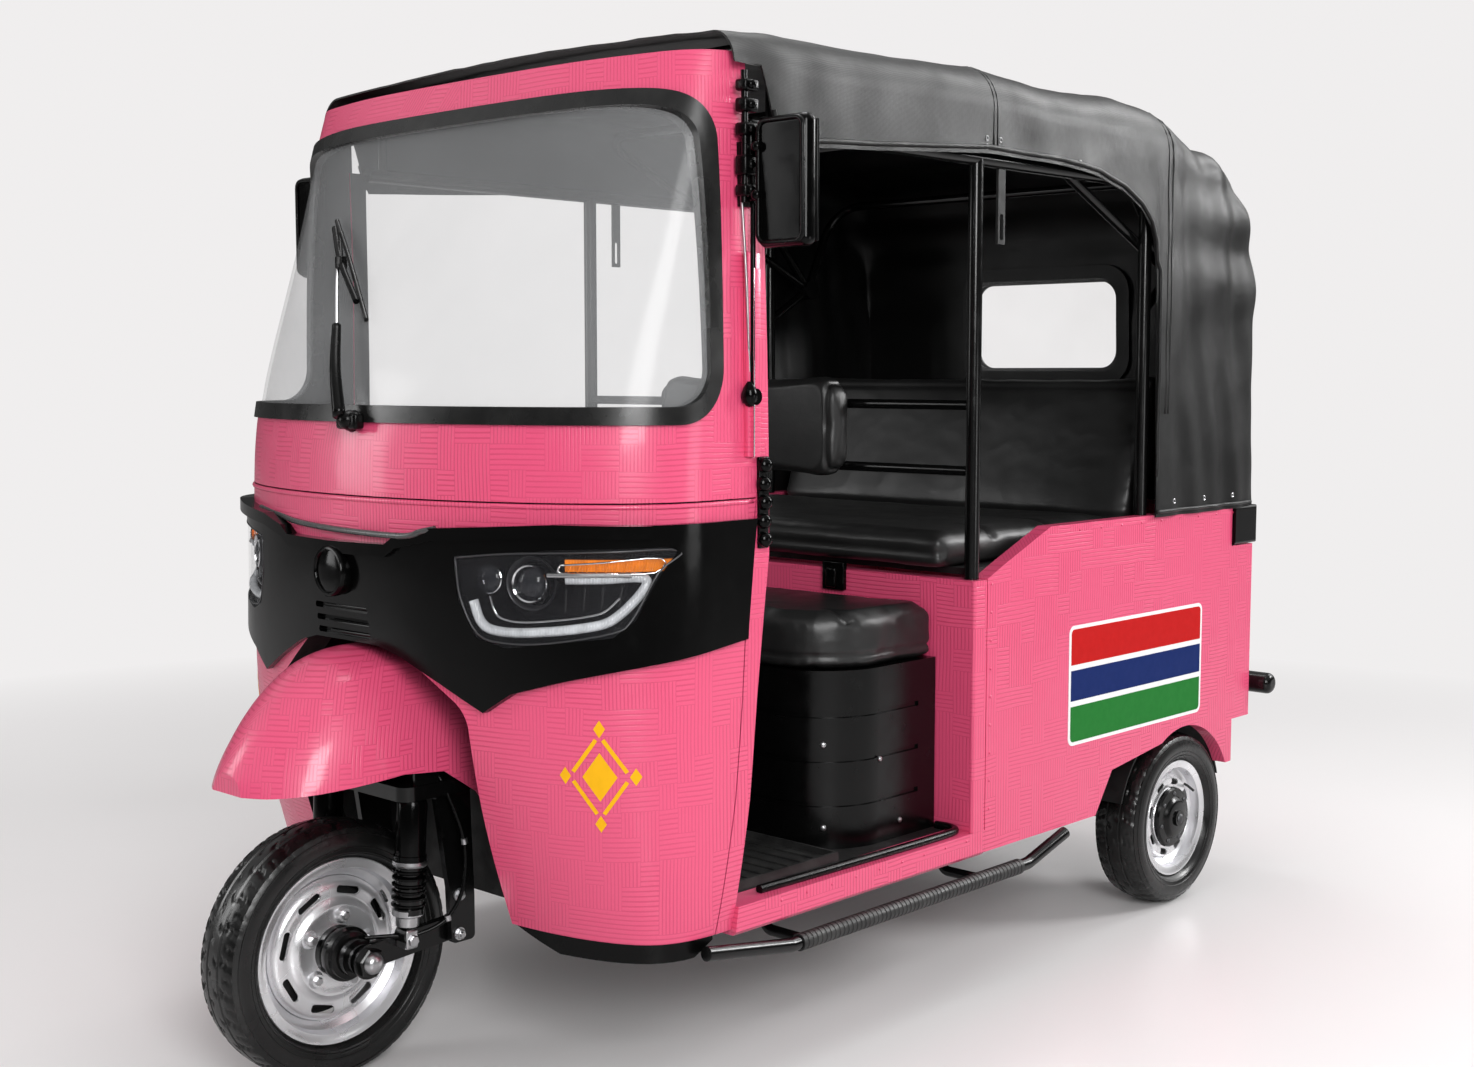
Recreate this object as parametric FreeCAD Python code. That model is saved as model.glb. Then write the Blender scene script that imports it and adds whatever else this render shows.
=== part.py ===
import FreeCAD, Part
import functools
import math
import os

os.makedirs("parts", exist_ok=True)
V = FreeCAD.Vector

# Lengths are in millimetres. Places along the vehicle are counted from the front axle, rearwards positive,
# and every solid is moved at the end so that the origin lies on the ground under the middle of the vehicle.

# Overall
wheelbase = 1990.0
rear_reach = 2375.0
half_width = 600.0
overrun = 60.0
small_gap = 0.3
seam_gap = 3.0

# Front wheel
front_tyre_radius = 232.0
front_tyre_width = 116.0
front_flange_radius = 168.0
front_rim_width = 84.0

# Rear wheels
rear_tyre_radius = 205.0
rear_tyre_width = 118.0
rear_flange_radius = 138.0
rear_rim_width = 92.0
rear_half_track = 533.0

# Wheel details
bead_depth = 12.0
rim_sheet = 5.0
disc_sheet = 5.0
rim_well_depth = 20.0
wheel_face_share = 0.34
hub_radius = 34.0
drum_radius = 74.0
drum_width = 44.0
axle_radius = 10.0
axle_clearance = 0.5
slot_count = 8
slot_length = 44.0
slot_height = 14.0
tyre_side_share = 0.48
tyre_shoulder_share = 0.82
tyre_shoulder_rise_share = 0.88
tyre_tread_share = 0.45
tyre_tread_drop_share = 0.025
tyre_groove_share = 0.34
rim_ledge_share = 0.45
rim_well_share = 0.25
rim_back_ledge_share = 0.5
rim_back_well_share = 0.3
disc_ring_share = 0.86
disc_edge_share = 0.84
disc_step_sheets = 3
disc_dish_sheets = 2.4
slot_place_share = 0.80
slot_round_share = 0.45
tyre_groove_depth = 5.0
tyre_groove_width = 6.0

# Cab shell, as plan sections at rising heights: height, nose, where the side turns straight, half width
shell_levels = [
    (190.0, 222.0, 425.0, 574.0),
    (270.0, 195.0, 410.0, 586.0),
    (450.0, 135.0, 385.0, 599.0),
    (700.0, 78.0, 362.0, 600.0),
    (900.0, 48.0, 360.0, 600.0),
    (1045.0, 43.0, 360.0, 600.0),
    (1190.0, 58.0, 370.0, 598.0),
    (1500.0, 200.0, 415.0, 592.0),
    (1720.0, 300.0, 455.0, 586.0),
    (1805.0, 335.0, 465.0, 581.0),
    (1870.0, 362.0, 472.0, 578.0),
]
# Power of the rounded corner at each level: 2 is an ellipse, more is squarer
level_power_shares = [3.0, 3.0, 2.8, 2.4, 2.05, 2.0, 2.0, 2.25, 2.6, 2.6, 2.6]
header_top = 1805.0
waist_nose = 48.0
plan_width_shares = [0.30, 0.55, 0.80, 0.95]
plan_side_shares = [0.0, 0.2, 0.5, 1.0]
shell_back = 640.0
shell_wall = 10.0
waist_seam = 1045.0
lap_depth = 4.0
lap_width = 16.0

# Rear edge of the front panel and of the door frame behind it, as place and height from the ground up
pillar_edge = [
    (399.0, 289.0), (438.0, 523.0), (456.0, 696.0), (465.0, 830.0), (480.0, 974.0), (493.0, 1060.0),
    (493.0, 1473.0), (488.0, 1624.0), (482.0, 1766.0), (480.0, 1805.0),
]
door_frame_edge = [
    (441.0, 289.0), (476.0, 516.0), (494.0, 691.0), (515.0, 866.0), (525.0, 945.0), (524.0, 1300.0),
    (521.0, 1474.0), (517.0, 1690.0),
]

# Wheel opening in the front panel
arch_half_width = 284.0
arch_top = 790.0
arch_top_half_width = 120.0
arch_shoulder = 682.0
arch_lip_depth = 46.0
arch_lip_wall = 5.0

# Wheel well behind the front panel
well_half_width = 268.0
well_top = 812.0
well_back = 352.0
well_bottom = 262.0
well_wall = 5.0

# Black fascia with the lamps: its lower edge and its upper edge in front view, from the middle outwards
fascia_proud = 12.0
fascia_lower_edge = [(0.0, 785.0), (92.0, 784.0), (154.0, 769.0), (245.0, 730.0), (300.0, 704.0),
                     (334.0, 688.0),
                     (392.0, 725.0), (478.0, 751.0), (587.0, 779.0)]
fascia_upper_edge = [(0.0, 966.0), (150.0, 968.0), (176.0, 984.0), (255.0, 1001.0), (477.0, 1014.0),
                     (587.0, 1012.0)]
fascia_side_front = 247.0
fascia_side_bottom_front = 779.0
fascia_side_bottom_back = 812.0
fascia_side_top = 1012.0
boss_radius = 44.0
boss_height = 911.0
boss_depth = 14.0
louvre_count = 3
louvre_half_width = 82.0
louvre_top_share = 0.94
louvre_height = 11.0
louvre_pitch = 23.0
louvre_top = 850.0
louvre_depth = 9.0
shelf_depth = 20.0
shelf_height = 22.0

# Headlamps, as points of the lens in front view
lamp_outline = [
    (292.0, 956.0), (477.0, 972.0), (606.0, 976.0), (594.0, 936.0), (572.0, 855.0), (548.0, 826.0),
    (385.0, 803.0), (331.0, 818.0), (298.0, 884.0),
]
lamp_corner = 9.0
lens_sheet = 4.0
lamp_depth = 70.0
lamp_back = 326.0
bowl_wall = 4.0
projector_x = 412.0
projector_height = 908.0
projector_radius = 34.0
projector_front = 150.0
projector_back = 206.0
projector_wall = 4.0
projector_bore_share = 0.45
signal_inner_x = 470.0
signal_outer_x = 612.0
signal_bottom = 934.0
signal_top = 954.0
signal_sheet = 6.0
signal_setback = 14.0

# Windscreen
screen_bottom = 1176.0
screen_top = 1748.0
screen_back = 408.0
screen_corner = 96.0
seal_width = 30.0
seal_proud = 6.0
seal_inside = 4.0
glass_sheet = 5.0
glass_setback = 3.0

# Wiper
wiper_x = 12.0
wiper_pivot_height = 1150.0
wiper_arm_top = 1480.0
wiper_arm_radius = 5.0
wiper_blade_low_x = 92.0
wiper_blade_low = 1352.0
wiper_blade_high = 1530.0
wiper_blade_radius = 6.0
wiper_standoff = 20.0
wiper_spindle_radius = 12.0

# Dashboard
dash_top = 1028.0
dash_bottom = 988.0
dash_back = 300.0
dash_wall = 6.0
binnacle_half_width = 110.0
binnacle_height = 52.0
binnacle_back = 205.0
binnacle_front = 118.0

# Floor, sills and mat
floor_height = 330.0
floor_sheet = 5.0
floor_half_width = 538.0
sill_bottom = 278.0
sill_top = 330.0
sill_width = 60.0
toe_board_top = 560.0
toe_board_foot = 420.0
mat_sheet = 6.0
mat_lip = 12.0
mat_front = 430.0
mat_inset = 14.0
mat_rib_count = 9
mat_rib_width = 14.0
mat_rib_height = 3.0

# Bulkhead behind the driver
bulkhead_front = 1139.0
bulkhead_back = 1180.0
bulkhead_top = 846.0
bulkhead_sheet = 12.0

# Side and rear panels
panel_front = 1183.0
panel_back = 2300.0
panel_sheet = 12.0
panel_flange = 34.0
panel_bottom = 284.0
panel_top = 940.0
panel_shoulder_run = 150.0
panel_shoulder_drop = 92.0
panel_shoulder_top_share = 1.5
panel_shoulder_mid_share = 0.4
panel_shoulder_mid_drop_share = 0.72
panel_tail_bottom = 415.0
panel_tail_hook = 2186.0
wheel_opening_front = 1622.0
wheel_opening_rise = 92.0
wheel_opening_clearance = 20.0
wheel_opening_front_deg = 118.0
wheel_opening_top_deg = 73.0
wheel_opening_back_deg = 28.0
lamp_notch_length = 104.0
lamp_notch_height = 96.0
liner_sheet = 4.0
liner_clearance = 26.0
liner_inner_x = 440.0

# Rear deck, bumper, lamps and plate bracket
deck_sheet = 14.0
deck_top = 866.0
tail_lamp_proud = 8.0
tail_lamp_round_share = 0.9
bumper_height = 490.0
bumper_radius = 26.0
bumper_half_length = 640.0
bumper_round_share = 0.6
bumper_arm_share = 0.7
bumper_arm_x = 300.0
bumper_arm_width = 40.0
plate_width = 330.0
plate_height = 110.0
plate_bottom = 560.0
plate_sheet = 4.0
plate_hole_spacing = 210.0
plate_hole_radius = 3.5

# Chassis
rail_x = 250.0
rail_width = 44.0
rail_height = 48.0
rail_front = 356.0
rail_back = 2262.0
cross_size = 36.0
cross_places = [374.0, 800.0, 1165.0, 1580.0, 2240.0]
outrigger_places = [470.0, 1165.0]
down_tube_radius = 21.0
tow_plate_width = 90.0
tow_plate_drop = 70.0
tow_plate_sheet = 10.0
tow_hole_radius = 12.0

# Steering
steer_rake_deg = 18.0
steer_trail = 40.0
head_low = 618.0
head_high = 800.0
head_radius = 31.0
stem_radius = 20.0
stem_clearance = 0.5
stem_top = 1075.0
crown_bottom = 506.0
crown_sheet = 26.0
crown_half_width = 150.0
crown_front = 66.0
crown_back = 226.0
leg_inner_x = 118.0
leg_sheet = 13.0
link_pivot_y = 205.0
link_pivot_height = 246.0
link_inner_x = 96.0
link_sheet = 16.0
link_eye_radius = 27.0
link_pivot_radius = 24.0
leg_foot_share = 1.2
leg_back_rise_share = 2.4
leg_front_rise_share = 3.4
leg_corner_share = 0.4
link_eye_flat_share = 0.8
link_pivot_flat_share = 0.9
axle_half_length = 132.0
axle_nut_radius = 19.0
axle_nut_length = 16.0
shock_x = 130.0
shock_foot_y = 84.0
shock_top_y = 98.0
shock_radius = 19.0
shock_bellows_radius = 26.0
shock_bellows_count = 5
shock_foot_height = 262.0
shock_rod_share = 0.55
shock_body_share = 0.52
shock_bellows_start_share = 0.16
shock_bellows_length_share = 0.38
shock_ring_share = 0.55
shock_core_share = 0.84
shock_eye_share = 0.9
shock_eye_reach_share = 0.6
mudguard_stay_x = 141.0
mudguard_stay_sheet = 6.0
mudguard_stay_height = 52.0
mudguard_stay_width = 52.0

# Handlebar
bar_half_width = 330.0
bar_radius = 12.0
bar_rise = 36.0
bar_sweep = 70.0
grip_radius = 17.0
grip_length = 118.0
clamp_radius = 33.0
clamp_height = 46.0
stem_collar_share = 0.9
pod_length = 52.0
pod_radius = 26.0
lever_radius = 5.0
lever_reach = 52.0
bar_bend_share = 0.45
lever_base_share = 0.8
lever_end_share = 0.2

# Front mudguard sections: place, top height, ridge half width, ridge height, flank half width,
# flank height, lower half width
mudguard_sections = [
    (-194.0, 580.0, 34.0, 568.0, 48.0, 540.0, 54.0),
    (-160.0, 634.0, 60.0, 604.0, 90.0, 565.0, 102.0),
    (-100.0, 700.0, 84.0, 662.0, 124.0, 600.0, 134.0),
    (-20.0, 756.0, 92.0, 722.0, 140.0, 640.0, 150.0),
    (70.0, 774.0, 94.0, 746.0, 145.0, 655.0, 156.0),
    (170.0, 772.0, 94.0, 746.0, 146.0, 655.0, 158.0),
    (290.0, 768.0, 94.0, 742.0, 146.0, 650.0, 158.0),
]
mudguard_wall = 4.0
ridge_side_share = 0.6
ridge_drop_share = 0.8
mudguard_bottom = 430.0
mudguard_side = [
    (-230.0, 545.0), (-170.0, 545.0), (-100.0, 550.0), (55.0, 563.0), (140.0, 556.0), (210.0, 508.0),
    (258.0, 450.0), (272.0, 456.0), (276.0, 540.0), (248.0, 615.0), (205.0, 680.0), (150.0, 735.0),
    (120.0, 830.0), (-230.0, 830.0),
]

# Seats
seat_box_half_width = 506.0
seat_box_front = 800.0
seat_box_top = 684.0
seat_box_corner = 150.0
seat_box_gap = 4.0
seat_box_wall = 12.0
seat_rib_count = 3
seat_rib_depth = 5.0
seat_rib_height = 10.0
cushion_thickness = 112.0
cushion_overhang = 12.0
driver_back_half_width = 280.0
driver_back_bottom = 1035.0
driver_back_top = 1266.0
driver_back_thickness = 66.0
driver_back_corner = 60.0
cushion_round_share = 0.3
back_round_share = 0.3
bench_front = 1098.0
bench_back = 1790.0
bench_thickness = 74.0
bench_half_width = 548.0
bench_corner = 36.0
bench_round_share = 0.7
back_top = 1262.0
back_rake = 150.0
back_thickness = 90.0
soft_gap = 0.5

# Roof frame
post_radius = 15.0
post_x = 572.0
post_y = 1150.0
side_rail_height = 1688.0
side_rail_front = 520.0
rear_post_y = 1812.0
hoop_radius = 11.0
hoop_x = 556.0
hoop_pivot_y = 1950.0
hoop_pivot_height = 1490.0
hoop_corner = 90.0
hoop_boss_share = 2.4
hoop_boss_reach_share = 1.6
hoop_tie_drop = 88.0
hoop_tops = [(1190.0, 1828.0), (1640.0, 1818.0), (2060.0, 1718.0)]
front_bow_y = 560.0
front_bow_height = 1831.0
front_bow_corner = 70.0
partition_heights = [1065.0, 1198.0]
partition_radius = 10.0

# Canopy stations: place, top height, half width, shoulder radius
canopy_stations = [
    (432.0, 1846.0, 606.0, 66.0),
    (683.0, 1858.0, 606.0, 76.0),
    (1160.0, 1872.0, 608.0, 80.0),
    (1640.0, 1868.0, 608.0, 84.0),
    (1862.0, 1812.0, 608.0, 90.0),
    (2133.0, 1744.0, 606.0, 96.0),
    (2226.0, 1570.0, 600.0, 96.0),
    (2296.0, 1080.0, 588.0, 96.0),
]
canopy_sheet = 9.0
canopy_crown = 10.0
canopy_shoulder_share = 0.45
canopy_hem = 948.0
canopy_side_edge = [
    (300.0, 1786.0), (560.0, 1786.0), (600.0, 1652.0), (1155.0, 1697.0), (1421.0, 1693.0), (1615.0, 1667.0),
    (1719.0, 1636.0), (1790.0, 1577.0), (1812.0, 1520.0), (1790.0, 940.0), (300.0, 940.0),
]
rear_window_half_width = 232.0
rear_window_bottom = 1268.0
rear_window_top = 1508.0
rear_window_corner = 46.0
rear_window_sheet = 4.0
rear_window_gap = 0.9

# Mirrors
mirror_x = 690.0
mirror_half_width = 56.0
mirror_y = 470.0
mirror_depth = 34.0
mirror_bottom = 1472.0
mirror_top = 1690.0
mirror_arm_radius = 8.0
mirror_arm_height = 1636.0
mirror_foot_height = 1560.0
stay_top = 1606.0
stay_bottom = 1222.0
stay_radius = 4.5
stay_x = 612.0
stay_y = 470.0
stay_foot_radius = 14.0
mirror_round_share = 0.42

# Side steps
step_x = 606.0
step_radius = 13.0
step_front = 360.0
step_drop = 232.0
step_low_front = 580.0
step_low_back = 1330.0
step_back = 1470.0
step_front_height = 268.0
step_back_height = 272.0
step_bend = 60.0
step_arm_inset = 40.0
step_arm_share = 0.8
step_arm_bend_share = 1.5
step_arm_sill_share = 1.6

# Rear suspension and drive
arm_pivot_y = 1580.0
arm_x = 408.0
arm_width = 36.0
arm_height = 44.0
arm_hub_radius = 44.0
arm_tube_radius = 20.0
stub_nut_length = 12.0
damper_foot_y = 1900.0
damper_lean = 60.0
damper_body_radius = 17.0
damper_spring_radius = 26.0
damper_wire = 7.0
damper_turns = 7
damper_rod_share = 0.5
damper_body_share = 0.62
damper_spring_start_share = 0.16
damper_spring_length_share = 0.74
bridge_height = 604.0
bridge_radius = 20.0
bridge_post = 30.0
engine_half_width = 150.0
engine_front = 1800.0
engine_back = 2130.0
engine_bottom = 128.0
engine_top = 430.0
engine_corner = 30.0
engine_mount_y = 1850.0
engine_mount_width = 60.0
shaft_radius = 13.0
boot_radius = 34.0
boot_length = 60.0
boot_core_share = 0.75
boot_rib_count = 3

# Grab straps
strap_y = 1250.0
strap_width = 24.0
strap_sheet = 6.0
strap_length = 150.0
strap_loop_height = 60.0

front_reach = front_tyre_radius
centre_shift = (front_reach - rear_reach) / 2


# Basic solids

def box(x0, x1, y0, y1, z0, z1):
    return Part.makeBox(x1 - x0, y1 - y0, z1 - z0, V(x0, y0, z0))


def rod(start, end, radius):
    way = end - start
    return Part.makeCylinder(radius, way.Length, start, way)


def cornered_wire(points, radii, closed=True):
    """Straight runs joined by tangent arcs, one radius for each corner."""
    count = len(points)
    starts = []
    ends = []
    middles = []
    for i in range(count):
        here = points[i]
        radius = radii[i]
        is_end = not closed and i in (0, count - 1)
        if is_end or radius <= 0:
            starts.append(here)
            ends.append(here)
            middles.append(None)
            continue
        before = (points[i - 1] - here).normalize()
        after = (points[(i + 1) % count] - here).normalize()
        half_angle = before.getAngle(after) / 2
        reach = radius / math.tan(half_angle)
        bisector = (before + after).normalize()
        centre = here + bisector * (radius / math.sin(half_angle))
        starts.append(here + before * reach)
        ends.append(here + after * reach)
        middles.append(centre - bisector * radius)
    edges = []
    for i in range(count):
        if middles[i] is not None:
            edges.append(Part.Arc(starts[i], middles[i], ends[i]).toShape())
        if i < count - 1 or closed:
            following = starts[(i + 1) % count]
            if (following - ends[i]).Length > small_gap / 10:
                edges.append(Part.LineSegment(ends[i], following).toShape())
    return Part.Wire(edges)


def prism_x(outline, x0, x1, radius=0.0):
    """Extrude a (place, height) outline across the vehicle."""
    wire = cornered_wire([V(x0, y, z) for y, z in outline], [radius] * len(outline))
    return Part.Face(wire).extrude(V(x1 - x0, 0, 0))


def prism_y(outline, y0, y1, radius=0.0):
    """Extrude an (across, height) outline along the vehicle."""
    wire = cornered_wire([V(x, y0, z) for x, z in outline], [radius] * len(outline))
    return Part.Face(wire).extrude(V(0, y1 - y0, 0))


def prism_z(outline, z0, z1, radius=0.0):
    """Extrude an (across, place) outline upwards."""
    wire = cornered_wire([V(x, y, z0) for x, y in outline], [radius] * len(outline))
    return Part.Face(wire).extrude(V(0, 0, z1 - z0))


def tube(points, radius, bend):
    """A round tube along straight runs and tangent bends."""
    path = cornered_wire(points, [bend] * len(points), closed=False)
    way = points[1] - points[0]
    ring = Part.Wire([Part.makeCircle(radius, points[0], way)])
    return path.makePipeShell([ring], True, False)


def fused(shapes):
    whole = shapes[0]
    if len(shapes) > 1:
        whole = shapes[0].multiFuse(shapes[1:])
    return whole.removeSplitter()


def mirrored(shape):
    return shape.mirror(V(0, 0, 0), V(1, 0, 0))


def both_sides(shape):
    return Part.makeCompound([shape, mirrored(shape)])


def rounded_block(x0, x1, y0, y1, z0, z1, radius):
    """A block whose edges are all rounded alike."""
    block = box(x0, x1, y0, y1, z0, z1)
    return block.makeFillet(radius, block.Edges)


# Shell of the cab, built up from level plan sections

def plan_section(height, nose, turn, half, power, inset):
    """One closed level section: a bowed front that runs into straight sides, and a straight back."""
    nose += inset
    half -= inset
    turn += inset
    depth = turn - nose
    back = shell_back + inset
    right = [V(half * w, nose + depth * (1 - (1 - w ** power) ** (1 / power)),
               height) for w in plan_width_shares]
    right += [V(half, turn + (back - turn) * share, height) for share in plan_side_shares]
    left = [V(-p.x, p.y, p.z) for p in reversed(right)]
    curve = Part.BSplineCurve()
    curve.interpolate(Points=left + [V(0, nose, height)] + right,
                      InitialTangent=V(0, -1, 0), FinalTangent=V(0, 1, 0))
    return Part.Wire([curve.toShape(), Part.LineSegment(right[-1], left[0]).toShape()])


@functools.lru_cache(maxsize=None)
def shell_solid(inset):
    """The cab's outside moved inwards by the inset, as one full solid, longer than the cab at both ends."""
    levels = [list(level) for level in shell_levels]
    levels[0][0] -= inset
    levels[-1][0] += inset
    sections = [plan_section(*level, power, inset) for level, power in zip(levels, level_power_shares)]
    return Part.makeLoft(sections, True, False)


@functools.lru_cache(maxsize=None)
def shell_skin(outside, inside):
    """The layer of the cab's shell between two insets."""
    return shell_solid(outside).cut(shell_solid(inside))


def nose_at(height):
    """Where the cab's centre-line lies at a height, between the levels on either side."""
    for low, high in zip(shell_levels, shell_levels[1:]):
        if height <= high[0]:
            break
    share = (height - low[0]) / (high[0] - low[0])
    return low[1] + (high[1] - low[1]) * share


def half_at(height):
    """Half width of the cab at a height."""
    for low, high in zip(shell_levels, shell_levels[1:]):
        if height <= high[0]:
            break
    share = (height - low[0]) / (high[0] - low[0])
    return low[3] + (high[3] - low[3]) * share


def behind_edge(edge, extra):
    """Everything behind a rear edge, moved rearwards by extra."""
    line = [(y + extra, z) for y, z in edge]
    line = [(line[0][0], -overrun)] + line + [(line[-1][0], line[-1][1] + 2 * overrun)]
    line += [(shell_back + overrun, line[-1][1]), (shell_back + overrun, -overrun)]
    return prism_x(line, -half_width - overrun, half_width + overrun)


def above(height):
    reach = half_width + overrun
    return box(-reach, reach, -reach, shell_back + overrun, height, height + wheelbase)


def below(height):
    reach = half_width + overrun
    return box(-reach, reach, -reach, shell_back + overrun, height - wheelbase, height)


def arch_outline(grow):
    """Inverted U of the front wheel opening, in front view."""
    side = arch_half_width + grow
    return [
        (-side, well_bottom - 2 * overrun), (-side,
                                             arch_shoulder), (-arch_top_half_width - grow, arch_top + grow),
        (arch_top_half_width + grow, arch_top + grow), (side,
                                                        arch_shoulder), (side, well_bottom - 2 * overrun),
    ]


def arch_prism(grow, y0, y1):
    return prism_y(arch_outline(grow), y0, y1, radius=arch_top_half_width / 2)


def screen_prism(inset):
    """Side view of the windscreen opening, which wraps round to the pillars."""
    low = screen_bottom + inset
    high = screen_top - inset
    back = screen_back - inset
    outline = [V(0, -front_reach, low), V(0, back, low), V(0, back, high), V(0, -front_reach, high)]
    corner = max(screen_corner - inset, small_gap)
    wire = cornered_wire(outline, [0, corner, corner, 0])
    face = Part.Face(wire)
    face.translate(V(-half_width - overrun, 0, 0))
    return face.extrude(V(2 * (half_width + overrun), 0, 0))


def make_cab_frame():
    """Upper pink shell: the band under the glass, the pillars and the header."""
    skin = shell_skin(0, shell_wall)
    roof_cap = shell_solid(shell_wall / 2).common(above(header_top - shell_wall))
    frame = skin.fuse(roof_cap).common(above(waist_seam + seam_gap)).cut(above(header_top))
    frame = frame.cut(behind_edge(pillar_edge, 0))
    return frame.cut(screen_prism(0)).removeSplitter()


def make_windscreen_seal():
    band = screen_prism(small_gap).cut(screen_prism(seal_width))
    return shell_skin(-seal_proud, shell_wall + seal_inside).common(band).removeSplitter()


def make_windscreen_glass():
    pane = shell_skin(glass_setback, glass_setback + glass_sheet)
    return pane.common(screen_prism(seal_width + small_gap)).removeSplitter()


def fascia_front_prism(drop):
    """Front view of the fascia, lowered by drop."""
    reach = half_width + overrun
    right = fascia_lower_edge + [(reach, fascia_lower_edge[-1][1]), (reach, fascia_upper_edge[-1][1])]
    right += list(reversed(fascia_upper_edge))
    left = [(-x, z) for x, z in reversed(right) if x > 0]
    return prism_y([(x, z - drop) for x, z in right + left], -front_reach, wheelbase / 2)


def fascia_side_prism():
    """Side view of the fascia, whose lower edge climbs towards the pillar."""
    back = pillar_edge[3][0] + overrun
    low = fascia_lower_edge[5][1] - overrun
    outline = [(-front_reach, low), (fascia_side_front, low), (fascia_side_front, fascia_side_bottom_front),
               (back, fascia_side_bottom_back), (back, fascia_side_top), (fascia_side_front, fascia_side_top),
               (-front_reach, fascia_side_top + overrun)]
    return prism_x(outline, -half_width - overrun, half_width + overrun)


def fascia_shape(drop):
    """The whole outline of the fascia as one solid cutter."""
    return fascia_front_prism(drop).common(fascia_side_prism())


def lamp_prism(grow):
    """Front view of one headlamp, on the left of the vehicle, as far back as its bowl reaches."""
    wire = cornered_wire([V(x, -front_reach, z) for x, z in lamp_outline], [lamp_corner] * len(lamp_outline))
    if grow:
        wire = wire.makeOffset2D(grow)
    return Part.Face(wire).extrude(V(0, front_reach + lamp_back + grow, 0))


def make_front_apron():
    """Lower pink shell with the wheel opening, its rolled lip and the cut-out behind the fascia."""
    skin = shell_skin(0, shell_wall).common(below(waist_seam)).common(above(pillar_edge[0][1]))
    skin = skin.cut(behind_edge(pillar_edge, 0))
    skin = skin.cut(arch_prism(0, -front_reach, well_back))
    lip = arch_prism(arch_lip_wall, -front_reach, well_back).cut(arch_prism(0, -front_reach, well_back))
    lip = lip.common(shell_skin(small_gap, shell_wall + arch_lip_depth)).common(above(pillar_edge[0][1]))
    hollow = lamp_prism(lamp_depth / 10)
    skin = skin.fuse(lip)
    skin = skin.cut(hollow).cut(mirrored(hollow))
    lap = shell_skin(shell_wall + small_gap, shell_wall + lap_depth).common(below(waist_seam + lap_width))
    root = shell_skin(shell_wall / 2, shell_wall + lap_depth).common(below(waist_seam))
    flange = lap.fuse(root).common(above(waist_seam - lap_width)).cut(behind_edge(pillar_edge,
                                                                                  -lap_width * 2))
    return skin.fuse(flange).removeSplitter()


def louvre_cutters():
    """Slits of the small grille under the boss."""
    cutters = []
    for k in range(louvre_count):
        top = louvre_top - k * louvre_pitch
        nose = nose_at(top) - fascia_proud
        outline = [(-louvre_half_width, top - louvre_height), (louvre_half_width, top - louvre_height),
                   (louvre_half_width * louvre_top_share, top), (-louvre_half_width * louvre_top_share, top)]
        cutters.append(prism_y(outline, nose - overrun, nose + louvre_depth, radius=louvre_height / 3))
    return cutters


def make_fascia():
    """Black band across the nose, with a shelf along its top, a round boss, a grille and lamp openings."""
    band = shell_skin(-fascia_proud, -small_gap).common(fascia_shape(0))
    band = band.cut(behind_edge(pillar_edge, -seam_gap))
    nose = nose_at(boss_height) - fascia_proud
    boss = rod(V(0, nose - boss_depth, boss_height), V(0, nose + fascia_proud / 2, boss_height), boss_radius)
    front_rim = [e for e in boss.Edges if e.BoundBox.YMax < nose - boss_depth + small_gap]
    boss = boss.makeFillet(boss_depth / 3, front_rim)
    shelf = shell_skin(-fascia_proud - shelf_depth / 2, -small_gap).common(fascia_shape(0))
    shelf = shelf.cut(fascia_shape(shelf_height)).common(above(fascia_upper_edge[0][1] - shelf_height))
    shelf = shelf.cut(box(-half_width - overrun, half_width + overrun, fascia_side_front, shell_back, 0,
                          wheelbase))
    band = fused([band, boss, shelf])
    for cutter in louvre_cutters():
        band = band.cut(cutter)
    opening = lamp_prism(0)
    return band.cut(opening).cut(mirrored(opening)).removeSplitter()


def make_headlamp_lens():
    """Clear cover that follows the fascia's surface."""
    pane = shell_skin(-fascia_proud + lens_sheet / 4, -fascia_proud + lens_sheet + lens_sheet / 4)
    return both_sides(pane.common(lamp_prism(-small_gap)).removeSplitter())


def make_headlamp_bowl():
    """Dark bowl behind the lens with the projector's round barrel in it."""
    outer = shell_skin(-fascia_proud + 2 * lens_sheet, lamp_depth).common(lamp_prism(-small_gap))
    inner = shell_skin(-fascia_proud, lamp_depth - bowl_wall).common(lamp_prism(-bowl_wall))
    bowl = outer.cut(inner)
    barrel_back = V(projector_x, projector_back, projector_height)
    barrel_front = V(projector_x, projector_front, projector_height)
    barrel = rod(barrel_back, barrel_front, projector_radius)
    bore = rod(barrel_front, barrel_front + (barrel_back - barrel_front) * projector_bore_share,
               projector_radius - projector_wall)
    barrel = barrel.cut(bore).cut(shell_solid(lamp_depth - bowl_wall / 2))
    return both_sides(fused([bowl, barrel]))


def make_turn_signals():
    """Amber strip behind each lens, standing on the bowl's outer wall."""
    strip = shell_skin(signal_setback - fascia_proud, signal_setback - fascia_proud + signal_sheet)
    place = prism_y([(signal_inner_x, signal_bottom), (signal_outer_x, signal_bottom),
                     (signal_outer_x, signal_top),
                     (signal_inner_x, signal_top)], -front_reach, wheelbase / 2)
    return both_sides(strip.common(place).common(lamp_prism(-bowl_wall - small_gap)))


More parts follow.
